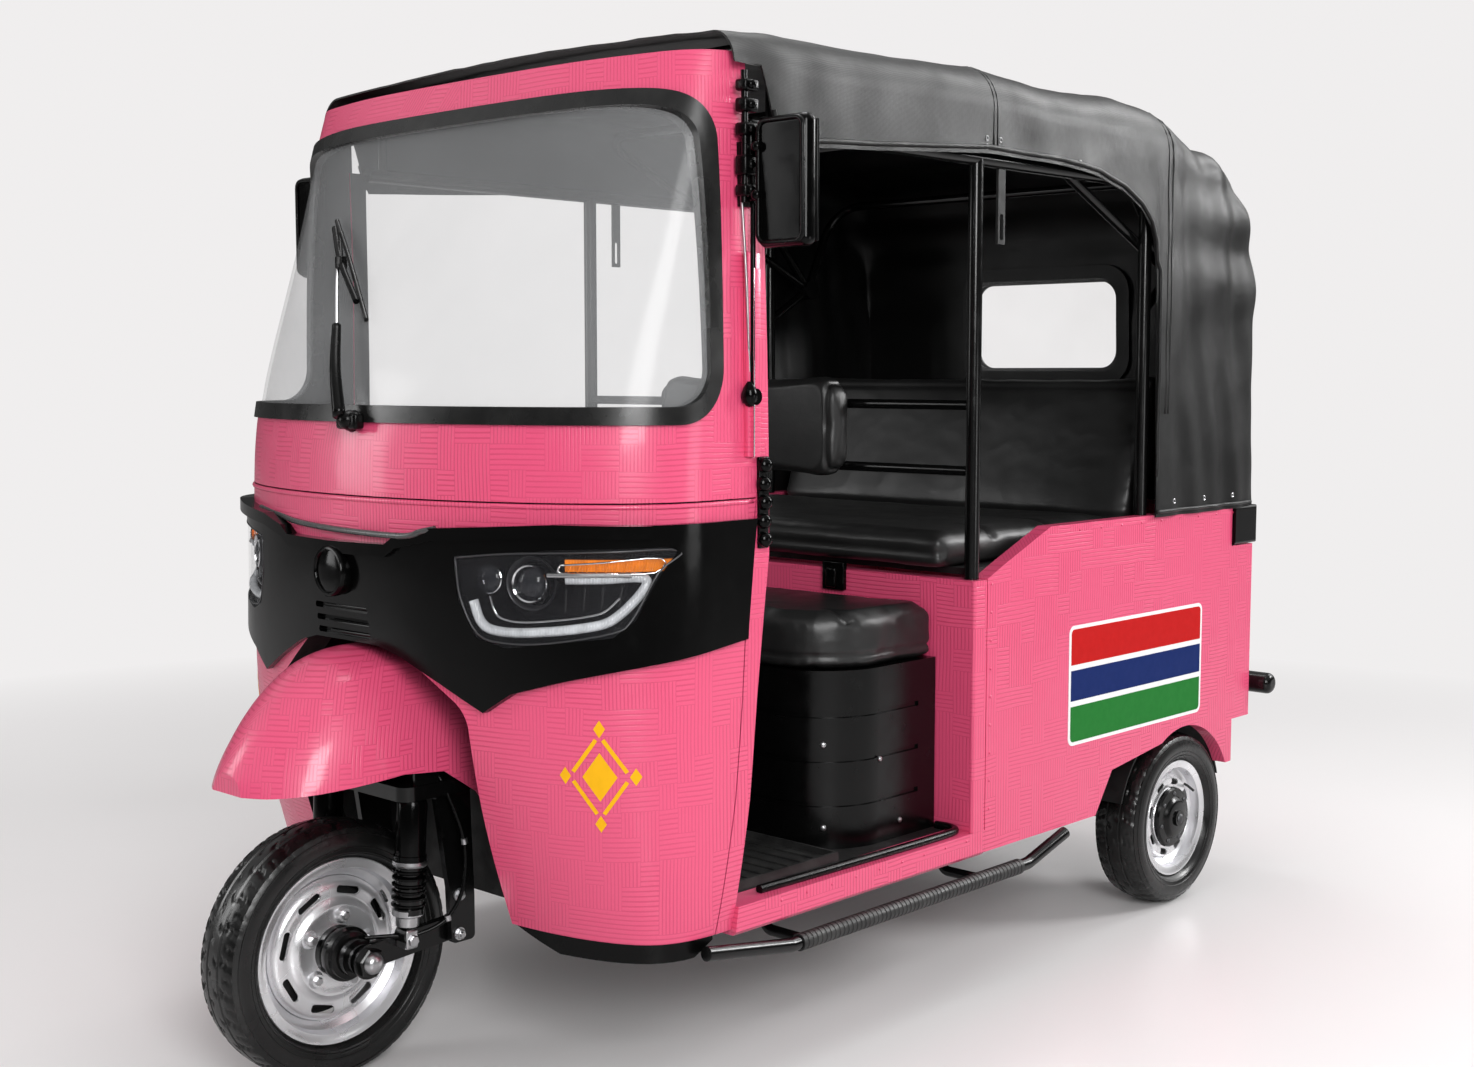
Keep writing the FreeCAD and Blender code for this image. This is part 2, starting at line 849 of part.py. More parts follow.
def make_door_frames():
    """Narrow pressed strip that edges the side opening, from the floor to the header."""
    lap = shell_skin(shell_wall + small_gap,
                     shell_wall + lap_depth).common(behind_edge(pillar_edge, -lap_width / 2))
    skin = shell_skin(0, shell_wall + lap_depth).common(behind_edge(pillar_edge, seam_gap))
    skin = skin.fuse(lap).cut(behind_edge(door_frame_edge, 0))
    skin = skin.common(above(door_frame_edge[0][1])).common(below(door_frame_edge[-1][1]))
    side = box(half_width - shell_wall * 3, half_width + overrun, 0, shell_back, 0, wheelbase)
    return both_sides(skin.common(side).removeSplitter())


def make_wiper():
    """Spindle, arm and blade, parked upright in the middle of the screen."""
    foot = V(wiper_x, nose_at(wiper_pivot_height) - wiper_standoff, wiper_pivot_height)
    spindle = rod(foot + V(0, wiper_standoff * 2, 0), foot - V(0, wiper_arm_radius, 0), wiper_spindle_radius)
    spindle = spindle.cut(shell_solid(-small_gap))
    knee = V(wiper_x, nose_at(screen_bottom) - wiper_standoff, screen_bottom + overrun / 2)
    top = V(wiper_x, nose_at(wiper_arm_top) - wiper_standoff, wiper_arm_top)
    arm = tube([foot, knee, top], wiper_arm_radius, overrun / 2)
    low = V(wiper_blade_low_x, nose_at(wiper_blade_low) - wiper_standoff, wiper_blade_low)
    high = top + (top - low) * ((wiper_blade_high - wiper_arm_top) / (wiper_arm_top - wiper_blade_low))
    blade = rod(high, low, wiper_blade_radius)
    return fused([spindle, arm, blade])


def make_dashboard():
    """Hollow dash under the glass with an instrument cowl."""
    reach = half_width - shell_wall - small_gap
    body = shell_solid(shell_wall + small_gap)
    body = body.common(box(-reach, reach, -front_reach, dash_back, dash_bottom, dash_top))
    inner = shell_solid(shell_wall + small_gap + dash_wall)
    inner = inner.common(box(-reach, reach, -front_reach, dash_back - dash_wall, dash_bottom - overrun,
                             dash_top - dash_wall))
    cowl = box(-binnacle_half_width, binnacle_half_width, binnacle_front, binnacle_back, dash_top - dash_wall,
               dash_top + binnacle_height)
    cowl = cowl.makeFillet(binnacle_height / 3, [e for e in cowl.Edges if e.CenterOfMass.z > dash_top])
    column_gap = rod(steer_point(crown_bottom), steer_point(stem_top + overrun), clamp_radius + overrun / 4)
    dash = body.cut(inner).cut(column_gap)
    return fused([dash, cowl.cut(column_gap)])


def make_wheel_well():
    """Black liner over and behind the steered wheel, open below."""
    top = waist_nose
    outline = [(-well_half_width, well_bottom), (-well_half_width, well_top), (well_half_width, well_top),
               (well_half_width, well_bottom)]
    outer = prism_y(outline, top, well_back, radius=0)
    inner = box(-well_half_width + well_wall, well_half_width - well_wall, top - overrun,
                well_back - well_wall,
                well_bottom - overrun, well_top - well_wall)
    liner = outer.cut(inner).common(shell_solid(shell_wall + arch_lip_depth + seam_gap))
    head = rod(steer_point(head_low), steer_point(stem_top), head_radius + seam_gap)
    return liner.cut(head).cut(down_tube(seam_gap)).removeSplitter()


# Steering geometry

def steer_point(height):
    """Point of the steering axis at a height."""
    return V(0, height * math.tan(math.radians(steer_rake_deg)) - steer_trail, height)


def down_tube(grow):
    """Tube from the steering head back and down to the first cross-member."""
    head = steer_point((head_low + head_high) / 2)
    knee = V(0, well_back + down_tube_radius + 2 * seam_gap, head.z - down_tube_radius * 2)
    foot = V(0, knee.y, floor_height - rail_height / 2)
    return tube([head, knee, foot], down_tube_radius + grow, down_tube_radius * 2)


def make_chassis_frame():
    """Two long rails, cross-members, outriggers, the steering head and its tube, and a tow plate."""
    top = floor_height - floor_sheet
    bottom = top - rail_height
    pieces = []
    for side in (-1, 1):
        x = side * rail_x
        pieces.append(box(x - rail_width / 2, x + rail_width / 2, rail_front, rail_back, bottom, top))
    for place in cross_places:
        pieces.append(box(-rail_x, rail_x, place - cross_size / 2, place + cross_size / 2, top - cross_size,
                          top))
    for place in outrigger_places:
        reach = half_width - sill_width - small_gap
        pieces.append(box(-reach, reach, place - cross_size / 2, place + cross_size / 2, top - cross_size,
                          top))
    bridge_y = damper_foot_y - damper_lean
    for side in (-1, 1):
        x = side * rail_x
        pieces.append(box(x - bridge_post / 2, x + bridge_post / 2, bridge_y - bridge_post / 2,
                          bridge_y + bridge_post / 2,
                          bottom, bridge_height))
    reach = arm_x + arm_width / 2 + seam_gap
    pieces.append(rod(V(-reach, bridge_y, bridge_height), V(reach, bridge_y, bridge_height), bridge_radius))
    pieces.append(rod(steer_point(head_low), steer_point(head_high), head_radius))
    pieces.append(down_tube(0))
    plate_top = top - cross_size / 2
    plate = box(-tow_plate_width / 2, tow_plate_width / 2, rail_back - cross_size,
                rail_back - cross_size + tow_plate_sheet,
                plate_top - cross_size / 2 - tow_plate_drop, plate_top)
    low_corners = [
        e for e in plate.Edges
        if abs(e.CenterOfMass.z - plate.BoundBox.ZMin) < tow_plate_width
        and e.Length < tow_plate_sheet + small_gap and e.CenterOfMass.z < plate_top - small_gap
    ]
    plate = plate.makeFillet(tow_plate_width / 4, low_corners)
    frame = fused(pieces + [plate])
    hole_height = plate.BoundBox.ZMin + tow_plate_width / 3
    hole = rod(V(0, rail_back - cross_size - overrun, hole_height), V(0, rail_back + overrun, hole_height),
               tow_hole_radius)
    bore = rod(steer_point(head_low - overrun), steer_point(head_high + overrun),
               stem_radius + stem_clearance)
    return frame.cut(bore).cut(hole).removeSplitter()


def make_floor_pan():
    """Flat floor with a sloping toe board in front."""
    top = floor_height
    slope = [
        (well_back + small_gap, toe_board_top), (well_back + small_gap + floor_sheet, toe_board_top),
        (toe_board_foot + floor_sheet / 2, top), (bulkhead_back, top), (bulkhead_back, top - floor_sheet),
        (toe_board_foot, top - floor_sheet),
    ]
    pan = prism_x(slope, -floor_half_width, floor_half_width)
    pan = pan.common(shell_solid(shell_wall + seam_gap).fuse(box(-floor_half_width, floor_half_width,
                                                                 shell_back - overrun,
                                                                 bulkhead_back, 0, top)))
    return pan.cut(down_tube(seam_gap)).removeSplitter()


def make_floor_mat():
    """Rubber mat with an upturned rim and long ribs."""
    x = floor_half_width - mat_inset / 4
    low = floor_height + small_gap
    tray = box(-x, x, mat_front, seat_box_front - seat_box_gap, low, low + mat_sheet + mat_lip)
    inner = box(-x + mat_sheet, x - mat_sheet, mat_front + mat_sheet,
                seat_box_front - seat_box_gap - mat_sheet,
                low + mat_sheet, low + mat_sheet + mat_lip + overrun)
    mat = [tray.cut(inner)]
    pitch = (seat_box_front - mat_front) / (mat_rib_count + 1)
    for k in range(mat_rib_count):
        y = mat_front + (k + 1) * pitch
        mat.append(box(-x + mat_sheet * 3, x - mat_sheet * 3, y - mat_rib_width / 2, y + mat_rib_width / 2,
                       low + mat_sheet - mat_rib_height, low + mat_sheet + mat_rib_height))
    return fused(mat)


def make_side_sills():
    """Rocker under each side opening, from the front panel to the side panel."""
    inner = half_width - sill_width
    outline = [(inner, sill_bottom + sill_width / 5), (inner, sill_top), (half_width, sill_top),
               (half_width, sill_bottom + sill_width / 8), (half_width - sill_width / 8, sill_bottom),
               (inner + sill_width / 4, sill_bottom)]
    sill = prism_y(outline, door_frame_edge[0][0] - sill_width / 4, panel_front - small_gap)
    foot = [(y + small_gap, z) for y, z in door_frame_edge[:2]]
    foot = [(foot[0][0], 0.0)] + foot + [(panel_front, foot[-1][1]), (panel_front, 0.0)]
    return both_sides(sill.common(prism_x(foot, 0, half_width)))


def make_bulkhead():
    """Pink wall behind the driver, folded back at its sides and top."""
    outer = box(-half_width, half_width, bulkhead_front, bulkhead_back, floor_height + small_gap,
                bulkhead_top)
    outer = outer.makeFillet(bulkhead_sheet / 2,
                             [e for e in outer.Edges if e.CenterOfMass.y < bulkhead_front + small_gap
                                                  and abs(e.CenterOfMass.x) > half_width - small_gap])
    inner = box(-half_width + bulkhead_sheet, half_width - bulkhead_sheet, bulkhead_front + bulkhead_sheet,
                bulkhead_back + overrun, floor_height + bulkhead_sheet, bulkhead_top - bulkhead_sheet)
    return outer.cut(inner)


# Rear body

def side_panel_outline(inset):
    """Side view of the rear side panel with the wheel opening."""
    arc_radius = rear_tyre_radius + wheel_opening_clearance
    lowest = panel_bottom
    points = [
        V(0, panel_front, lowest), V(0, wheel_opening_front - overrun / 3, lowest),
        V(0, wheel_opening_front + wheel_opening_rise / 2, lowest + wheel_opening_rise),
    ]
    start, middle, end = [
        V(0, wheelbase + arc_radius * math.cos(math.radians(turn)),
          rear_tyre_radius + arc_radius * math.sin(math.radians(turn)))
        for turn in (wheel_opening_front_deg, wheel_opening_top_deg, wheel_opening_back_deg)]
    edges = []
    for a, b in zip(points, points[1:] + [start]):
        edges.append(Part.LineSegment(a, b).toShape())
    edges.append(Part.Arc(start, middle, end).toShape())
    rest = [
        end, V(0, end.y + small_gap * 10, end.z - small_gap), V(0, panel_tail_hook + overrun / 2,
                                                                end.z + small_gap),
        V(0, panel_tail_hook + overrun / 2, panel_tail_bottom), V(0, panel_back, panel_tail_bottom),
        V(0, panel_back, panel_top - lamp_notch_height),
        V(0, panel_back - lamp_notch_length, panel_top - lamp_notch_height),
        V(0, panel_back - lamp_notch_length, panel_top),
        V(0, panel_front + panel_shoulder_run * panel_shoulder_top_share, panel_top),
        V(0, panel_front + panel_shoulder_run * panel_shoulder_mid_share,
          panel_top - panel_shoulder_drop * panel_shoulder_mid_drop_share),
        V(0, panel_front, panel_top - panel_shoulder_drop), points[0],
    ]
    for a, b in zip(rest, rest[1:]):
        edges.append(Part.LineSegment(a, b).toShape())
    wire = Part.Wire(edges)
    if inset:
        wire = wire.makeOffset2D(-inset)
    return wire


def make_side_panel():
    """Pressed side panel with flanges turned inwards all round."""
    skin = Part.Face(side_panel_outline(0)).extrude(V(panel_flange, 0, 0))
    pocket = Part.Face(side_panel_outline(panel_sheet)).extrude(V(panel_flange - panel_sheet, 0, 0))
    skin.translate(V(half_width - panel_flange, 0, 0))
    pocket.translate(V(half_width - panel_flange - small_gap, 0, 0))
    return skin.cut(pocket)


def make_rear_panel():
    """Flat tail panel with flanges, between the side panels."""
    x = half_width - panel_flange - small_gap
    outer = box(-x, x, panel_back - panel_flange, panel_back, panel_tail_bottom, panel_top)
    pocket = box(-x + panel_sheet, x - panel_sheet, panel_back - panel_flange - overrun,
                 panel_back - panel_sheet,
                 panel_tail_bottom + panel_sheet, panel_top - panel_sheet)
    return outer.cut(pocket)


def make_tail_lamps():
    """Corner lamp set into the notch of each side panel and standing a little proud."""
    y0 = panel_back - lamp_notch_length + seam_gap
    z0 = panel_top - lamp_notch_height + seam_gap
    lamp = box(half_width - panel_flange + small_gap, half_width + tail_lamp_proud, y0,
               panel_back + tail_lamp_proud, z0, panel_top)
    outer_edges = [
        e for e in lamp.Edges if e.CenterOfMass.x > half_width and e.CenterOfMass.y > y0 + small_gap
    ]
    return both_sides(lamp.makeFillet(tail_lamp_proud * tail_lamp_round_share, outer_edges))


def make_rear_deck():
    """Board that carries the bench and closes the tail below the hood."""
    x = half_width - panel_flange - small_gap
    y1 = panel_back - panel_flange - small_gap
    return box(-x, x, bulkhead_back + small_gap, y1, deck_top - deck_sheet, deck_top)


def make_rear_bumper():
    """Round bar across the tail on two arms."""
    y = rear_reach - bumper_radius
    bar = rod(V(-bumper_half_length, y, bumper_height), V(bumper_half_length, y, bumper_height),
              bumper_radius)
    bar = bar.makeFillet(bumper_radius * bumper_round_share, [e for e in bar.Edges if e.Closed and
                                               abs(e.CenterOfMass.x) > bumper_half_length - small_gap])
    pieces = [bar]
    for side in (-1, 1):
        x = side * bumper_arm_x
        pieces.append(box(x - bumper_arm_width / 2, x + bumper_arm_width / 2, panel_back + small_gap, y,
                          bumper_height - bumper_radius * bumper_arm_share,
                          bumper_height + bumper_radius * bumper_arm_share))
    return fused(pieces)


def make_plate_bracket():
    """Plain bracket for a number plate with two holes."""
    plate = box(-plate_width / 2, plate_width / 2, panel_back + small_gap,
                panel_back + small_gap + plate_sheet,
                plate_bottom, plate_bottom + plate_height)
    for side in (-1, 1):
        x = side * plate_hole_spacing / 2
        z = plate_bottom + plate_height / 2
        plate = plate.cut(rod(V(x, panel_back - overrun, z), V(x, panel_back + overrun, z),
                              plate_hole_radius))
    return plate


def make_wheel_liners():
    """Black liner round each rear wheel: a bent sheet with an inner wall."""
    radius = rear_tyre_radius + liner_clearance + liner_sheet
    outer_x = half_width - panel_flange - small_gap
    start = V(liner_inner_x, wheelbase, rear_tyre_radius)
    end = V(outer_x, wheelbase, rear_tyre_radius)
    shell = rod(start, end, radius)
    hollow = rod(start + V(liner_sheet, 0, 0), end + V(overrun, 0, 0), radius - liner_sheet)
    level = box(0, half_width + overrun, 0, rear_reach + overrun, -radius, rear_tyre_radius + arm_hub_radius +
                liner_clearance)
    return both_sides(shell.cut(hollow).cut(level))


# Wheels

def wheel_tyre(radius, width, flange_radius, rim_width):
    """Tyre section turned round the axle, with rounded shoulders and two shallow grooves."""
    bead = flange_radius - bead_depth
    half = width / 2
    bead_half = rim_width / 2 - rim_sheet - small_gap
    inner = [V(-bead_half, 0, bead + small_gap), V(bead_half, 0, bead + small_gap)]
    height = radius - bead
    side_mid = V(half, 0, bead + height * tyre_side_share)
    shoulder = V(half * tyre_shoulder_share, 0, bead + height * tyre_shoulder_rise_share)
    crown = V(0, 0, radius)
    flip = lambda p: V(-p.x, p.y, p.z)
    tread_mid = V(half * tyre_tread_share, 0, radius - height * tyre_tread_drop_share)
    lower = V(bead_half, 0, flange_radius + small_gap)
    low_side = Part.Arc(lower, side_mid, shoulder).toShape()
    tread = Part.BSplineCurve()
    tread.interpolate([shoulder, tread_mid, crown, flip(tread_mid), flip(shoulder)])
    other_side = Part.Arc(flip(shoulder), flip(side_mid), flip(lower)).toShape()
    edges = [
        Part.LineSegment(inner[0], inner[1]).toShape(), Part.LineSegment(inner[1], lower).toShape(), low_side,
        tread.toShape(), other_side, Part.LineSegment(flip(lower), inner[0]).toShape(),
    ]
    tyre = Part.Face(Part.Wire(edges)).revolve(V(0, 0, 0), V(1, 0, 0), 360)
    for side in (-1, 1):
        x = side * half * tyre_groove_share
        groove = rod(V(x - tyre_groove_width / 2, 0, 0), V(x + tyre_groove_width / 2, 0, 0), radius + overrun)
        groove = groove.cut(rod(V(x - overrun, 0, 0), V(x + overrun, 0, 0), radius - tyre_groove_depth))
        tyre = tyre.cut(groove)
    return tyre


def wheel_rim(flange_radius, rim_width, disc_x, outer_side):
    """Pressed steel wheel: rim with a well, dished disc with slots, hub and drum."""
    half = rim_width / 2
    bead = flange_radius - bead_depth
    well = bead - rim_well_depth
    outer = [
        (-half, flange_radius), (-half + rim_sheet, flange_radius), (-half + rim_sheet, bead),
        (-half * rim_ledge_share, bead), (-half * rim_well_share, well), (half * rim_well_share, well),
        (half * rim_ledge_share, bead),
        (half - rim_sheet, bead), (half - rim_sheet, flange_radius), (half, flange_radius),
    ]
    inner = [
        (half, bead - rim_sheet), (half * rim_back_ledge_share, bead - rim_sheet),
        (half * rim_back_well_share, well - rim_sheet), (-half * rim_back_well_share, well - rim_sheet),
        (-half * rim_back_ledge_share, bead - rim_sheet), (-half, bead - rim_sheet),
    ]
    wire = Part.makePolygon([V(x, 0, r) for x, r in outer + inner + outer[:1]])
    rim = Part.Face(wire).revolve(V(0, 0, 0), V(1, 0, 0), 360)
    side = outer_side
    face_x = side * disc_x
    profile = [
        (face_x, hub_radius / 2), (face_x, drum_radius * disc_ring_share),
        (face_x - side * rim_sheet * disc_step_sheets, drum_radius),
        (face_x - side * rim_sheet * disc_dish_sheets, well * disc_edge_share), (0, well - rim_sheet / 2),
    ]
    back = [(x - side * disc_sheet, r) for x, r in reversed(profile)]
    back[0] = (-side * disc_sheet, well - rim_sheet / 2)
    disc = Part.Face(Part.makePolygon([V(x, 0, r) for x, r in profile + back + profile[:1]]))
    disc = disc.revolve(V(0, 0, 0), V(1, 0, 0), 360)
    slot_radius = well * slot_place_share
    for k in range(slot_count):
        turn = 360.0 * k / slot_count
        low = slot_radius - slot_height / 2
        high = slot_radius + slot_height / 2
        outline = [(-slot_length / 2, low), (slot_length / 2, low), (slot_length / 2, high),
                   (-slot_length / 2, high)]
        slot = prism_x(outline, -rim_width, rim_width, radius=slot_height * slot_round_share)
        slot.rotate(V(0, 0, 0), V(1, 0, 0), turn)
        disc = disc.cut(slot)
    hub_out = V(face_x + side * rim_sheet * disc_step_sheets, 0, 0)
    hub = rod(V(-side * rim_width / 2, 0, 0), hub_out, hub_radius)
    drum = rod(V(-side * rim_width / 2, 0, 0), V(-side * (rim_width / 2 - drum_width), 0, 0), drum_radius)
    wheel = fused([rim, disc, hub, drum])
    bore = rod(V(-wheelbase / 4, 0, 0), V(wheelbase / 4, 0, 0), axle_radius + axle_clearance)
    return wheel.cut(bore)


def make_front_wheel():
    tyre = wheel_tyre(front_tyre_radius, front_tyre_width, front_flange_radius, front_rim_width)
    rim = wheel_rim(front_flange_radius, front_rim_width, front_rim_width * wheel_face_share, 1)
    place = V(0, 0, front_tyre_radius)
    return tyre.translate(place), rim.translate(place)


def make_rear_wheel(side):
    tyre = wheel_tyre(rear_tyre_radius, rear_tyre_width, rear_flange_radius, rear_rim_width)
    rim = wheel_rim(rear_flange_radius, rear_rim_width, rear_rim_width * wheel_face_share, side)
    place = V(side * rear_half_track, wheelbase, rear_tyre_radius)
    return tyre.translate(place), rim.translate(place)


# Steered parts

def make_front_fork():
    """Crown plate over the tyre, two legs behind it and the mudguard's stays."""
    x = crown_half_width
    crown = prism_z([(-x, crown_front), (x, crown_front), (x, crown_back), (-x, crown_back)], crown_bottom,
                    crown_bottom + crown_sheet, radius=crown_sheet)
    leg_outline = [
        (crown_back - crown_sheet * 3, crown_bottom + small_gap), (crown_back, crown_bottom + small_gap),
        (link_pivot_y + link_pivot_radius * leg_foot_share,
         link_pivot_height + link_pivot_radius * leg_back_rise_share),
        (link_pivot_y + link_pivot_radius * leg_foot_share, link_pivot_height - link_pivot_radius),
        (link_pivot_y - link_pivot_radius, link_pivot_height - link_pivot_radius),
        (link_pivot_y - link_pivot_radius * leg_foot_share,
         link_pivot_height + link_pivot_radius * leg_front_rise_share),
    ]
    leg = prism_x(leg_outline, leg_inner_x, leg_inner_x + leg_sheet,
                  radius=link_pivot_radius * leg_corner_share)
    stay_front = crown_front + crown_sheet
    stay_back = stay_front + mudguard_stay_width
    stay_top = crown_bottom + crown_sheet + mudguard_stay_height
    stay = box(mudguard_stay_x, mudguard_stay_x + mudguard_stay_sheet, stay_front, stay_back, crown_bottom,
               stay_top)
    tab = box(mudguard_stay_x, half_width, stay_front, stay_back, stay_top - mudguard_stay_sheet, stay_top)
    stay = stay.fuse(tab).common(mudguard_loft(mudguard_wall + small_gap))
    pin = rod(V(link_inner_x - seam_gap, link_pivot_y, link_pivot_height),
              V(leg_inner_x + leg_sheet, link_pivot_y, link_pivot_height), axle_radius)
    pieces = [crown]
    for piece in (leg, stay, pin):
        pieces += [piece, mirrored(piece)]
    fork = fused(pieces)
    return fork.cut(rod(steer_point(crown_bottom - overrun), steer_point(head_high),
                        stem_radius + small_gap / 3))


def make_front_links():
    """Leading link on each side from the leg's foot forward to the axle, with the axle and its nuts."""
    axle = V(0, 0, front_tyre_radius)
    links = []
    for side in (-1, 1):
        x0 = side * link_inner_x
        x1 = side * (link_inner_x + link_sheet)
        eye = rod(V(x0, axle.y, axle.z), V(x1, axle.y, axle.z), link_eye_radius)
        pivot = rod(V(x0, link_pivot_y, link_pivot_height), V(x1, link_pivot_y, link_pivot_height),
                    link_pivot_radius)
        bar = prism_x([
            (axle.y, axle.z - link_eye_radius * link_eye_flat_share),
            (link_pivot_y, link_pivot_height - link_pivot_radius * link_pivot_flat_share),
            (link_pivot_y, link_pivot_height + link_pivot_radius * link_pivot_flat_share),
            (axle.y, axle.z + link_eye_radius * link_eye_flat_share),
        ], min(x0, x1), max(x0, x1))
        link = fused([eye, pivot, bar])
        hole = rod(V(x0 - side * overrun, link_pivot_y, link_pivot_height),
                   V(x1 + side * overrun, link_pivot_y, link_pivot_height), axle_radius + small_gap)
        links.append(link.cut(hole))
        links.append(rod(V(x1, 0, axle.z), V(x1 + side * axle_nut_length, 0, axle.z), axle_nut_radius))
    shaft = rod(V(-axle_half_length, 0, axle.z), V(axle_half_length, 0, axle.z), axle_radius)
    return fused(links + [shaft])


def make_front_shocks():
    """Damper with a ribbed gaiter on each side, from the link up to the crown."""
    foot = V(shock_x, shock_foot_y, shock_foot_height)
    top = V(shock_x, shock_top_y, crown_bottom - small_gap)
    way = (top - foot).normalize()
    length = (top - foot).Length
    pieces = [rod(foot, top, shock_radius * shock_rod_share)]
    pieces.append(rod(foot + way * (length * shock_body_share), top - way * small_gap, shock_radius))
    ring = length * shock_bellows_length_share / shock_bellows_count
    for k in range(shock_bellows_count):
        start = foot + way * (length * shock_bellows_start_share + k * ring)
        pieces.append(rod(start, start + way * (ring * shock_ring_share), shock_bellows_radius))
        pieces.append(rod(start, start + way * ring, shock_bellows_radius * shock_core_share))
    eye_low = V(link_inner_x + link_sheet + small_gap, foot.y, foot.z)
    pieces.append(rod(eye_low, V(shock_x + shock_radius * shock_eye_reach_share, foot.y, foot.z),
                      shock_radius * shock_eye_share))
    shock = fused(pieces)
    return both_sides(shock.cut(above(top.z)))


def mudguard_section(row, shrink):
    place, top, ridge_x, ridge_z, flank_x, flank_z, low_x = row
    top -= shrink
    ridge_x -= shrink * ridge_side_share
    ridge_z -= shrink * ridge_drop_share
    flank_x -= shrink
    low_x -= shrink
    bottom = mudguard_bottom
    right = [V(ridge_x, place, ridge_z), V(flank_x, place, flank_z), V(low_x, place, bottom)]
    left = [V(-p.x, p.y, p.z) for p in right]
    crown = Part.Arc(left[0], V(0, place, top), right[0]).toShape()
    right_flank = Part.Arc(*right).toShape()
    base = Part.LineSegment(right[2], left[2]).toShape()
    left_flank = Part.Arc(left[2], left[1], left[0]).toShape()
    return Part.Wire([crown, right_flank, base, left_flank])


def mudguard_loft(shrink):
    """The guard's form as a full solid, shrunk on the inside, where it also runs out at the back."""
    rows = [list(row) for row in mudguard_sections]
    if shrink:
        rows[0][0] += shrink
        rows[-1][0] += overrun
    return Part.makeLoft([mudguard_section(row, shrink) for row in rows], True, False)


def make_front_mudguard():
    """Beaked guard that turns with the wheel, with a ridge along each shoulder."""
    outer = mudguard_loft(0)
    inner = mudguard_loft(mudguard_wall)
    side = prism_x(mudguard_side, -half_width, half_width, radius=small_gap)
    guard = outer.cut(inner.cut(box(-half_width, half_width, -front_reach, half_width, 0, mudguard_bottom)))
    return guard.common(side).removeSplitter()


def make_steering_column():
    """Stem through the steering head, up to the handlebar's clamp."""
    stem = rod(steer_point(crown_bottom + small_gap), steer_point(stem_top), stem_radius)
    clamp = rod(steer_point(stem_top - clamp_height), steer_point(stem_top), clamp_radius)
    lower = rod(steer_point(crown_bottom + crown_sheet + clamp_radius / 2),
                steer_point(head_low - seam_gap * 2),
                clamp_radius * stem_collar_share)
    return fused([stem, clamp, lower])


def make_handlebar():
    """Swept bar with grips, switch pods and levers."""
    up = (steer_point(stem_top) - steer_point(crown_bottom)).normalize()
    middle = steer_point(stem_top) + up * (bar_radius + small_gap)
    end_x = bar_half_width
    points = []
    for x, back, rise in ((-end_x, bar_sweep, bar_rise), (-end_x * bar_bend_share, 0, bar_rise),
                          (-clamp_radius, 0, 0),
                          (clamp_radius, 0, 0), (end_x * bar_bend_share, 0, bar_rise),
                          (end_x, bar_sweep, bar_rise)):
        points.append(V(x, middle.y + back, middle.z + rise))
    pieces = [tube(points, bar_radius, bar_rise)]
    for side in (-1, 1):
        end = V(side * end_x, middle.y + bar_sweep, middle.z + bar_rise)
        inner = V(side * end_x * bar_bend_share, middle.y, middle.z + bar_rise)
        way = (inner - end).normalize()
        pieces.append(rod(end, end + way * grip_length, grip_radius))
        pod = end + way * (grip_length + small_gap)
        pieces.append(rod(end + way * (grip_length - small_gap), pod + way * pod_length, pod_radius))
        lever_start = pod + way * (pod_length / 2) + V(0, -pod_radius * lever_base_share, 0)
        lever_end = end + way * (grip_length * lever_end_share) + V(0, -lever_reach, 0)
        pieces.append(rod(lever_start, lever_end, lever_radius))
    return fused(pieces)


# Seats and interior

def seat_outline(grow):
    x = seat_box_half_width + grow
    front = seat_box_front - grow
    back = bulkhead_front - seat_box_gap
    return [V(-x, back, 0), V(-x, front, 0), V(x, front, 0), V(x, back, 0)]


def seat_prism(grow, z0, z1, corner):
    wire = cornered_wire(seat_outline(grow), [0, corner, corner, 0])
    face = Part.Face(wire)
    face.translate(V(0, 0, z0))
    return face.extrude(V(0, 0, z1 - z0))


def make_driver_seat_box():
    """Moulded seat base with rounded front corners and shallow level grooves."""
    low = floor_height + small_gap
    shell = seat_prism(0, low, seat_box_top, seat_box_corner)
    pitch = (seat_box_top - low) / (seat_rib_count + 1)
    for k in range(seat_rib_count):
        z = low + (k + 1) * pitch
        ring = seat_prism(overrun, z - seat_rib_height / 2, z + seat_rib_height / 2,
                          seat_box_corner + overrun)
        core = seat_prism(-seat_rib_depth, z - seat_rib_height, z + seat_rib_height,
                          seat_box_corner - seat_rib_depth)
        behind = box(-seat_box_half_width, seat_box_half_width, bulkhead_front - overrun, bulkhead_front,
                     z - overrun,
                     z + overrun)
        shell = shell.cut(ring.cut(core.fuse(behind)))
    hollow = seat_prism(-seat_box_wall, low - overrun, seat_box_top - seat_box_wall,
                        seat_box_corner - seat_box_wall)
    hollow = hollow.cut(box(-seat_box_half_width, seat_box_half_width,
                            bulkhead_front - seat_box_gap - seat_box_wall,
                            bulkhead_front, 0, seat_box_top))
    return shell.cut(hollow).removeSplitter()


def make_driver_cushion():
    low = seat_box_top + soft_gap
    block = seat_prism(cushion_overhang, low, low + cushion_thickness, seat_box_corner + cushion_overhang)
    top_edges = [e for e in block.Edges if e.BoundBox.ZMin > low + cushion_thickness - small_gap]
    return block.makeFillet(cushion_thickness * cushion_round_share, top_edges)


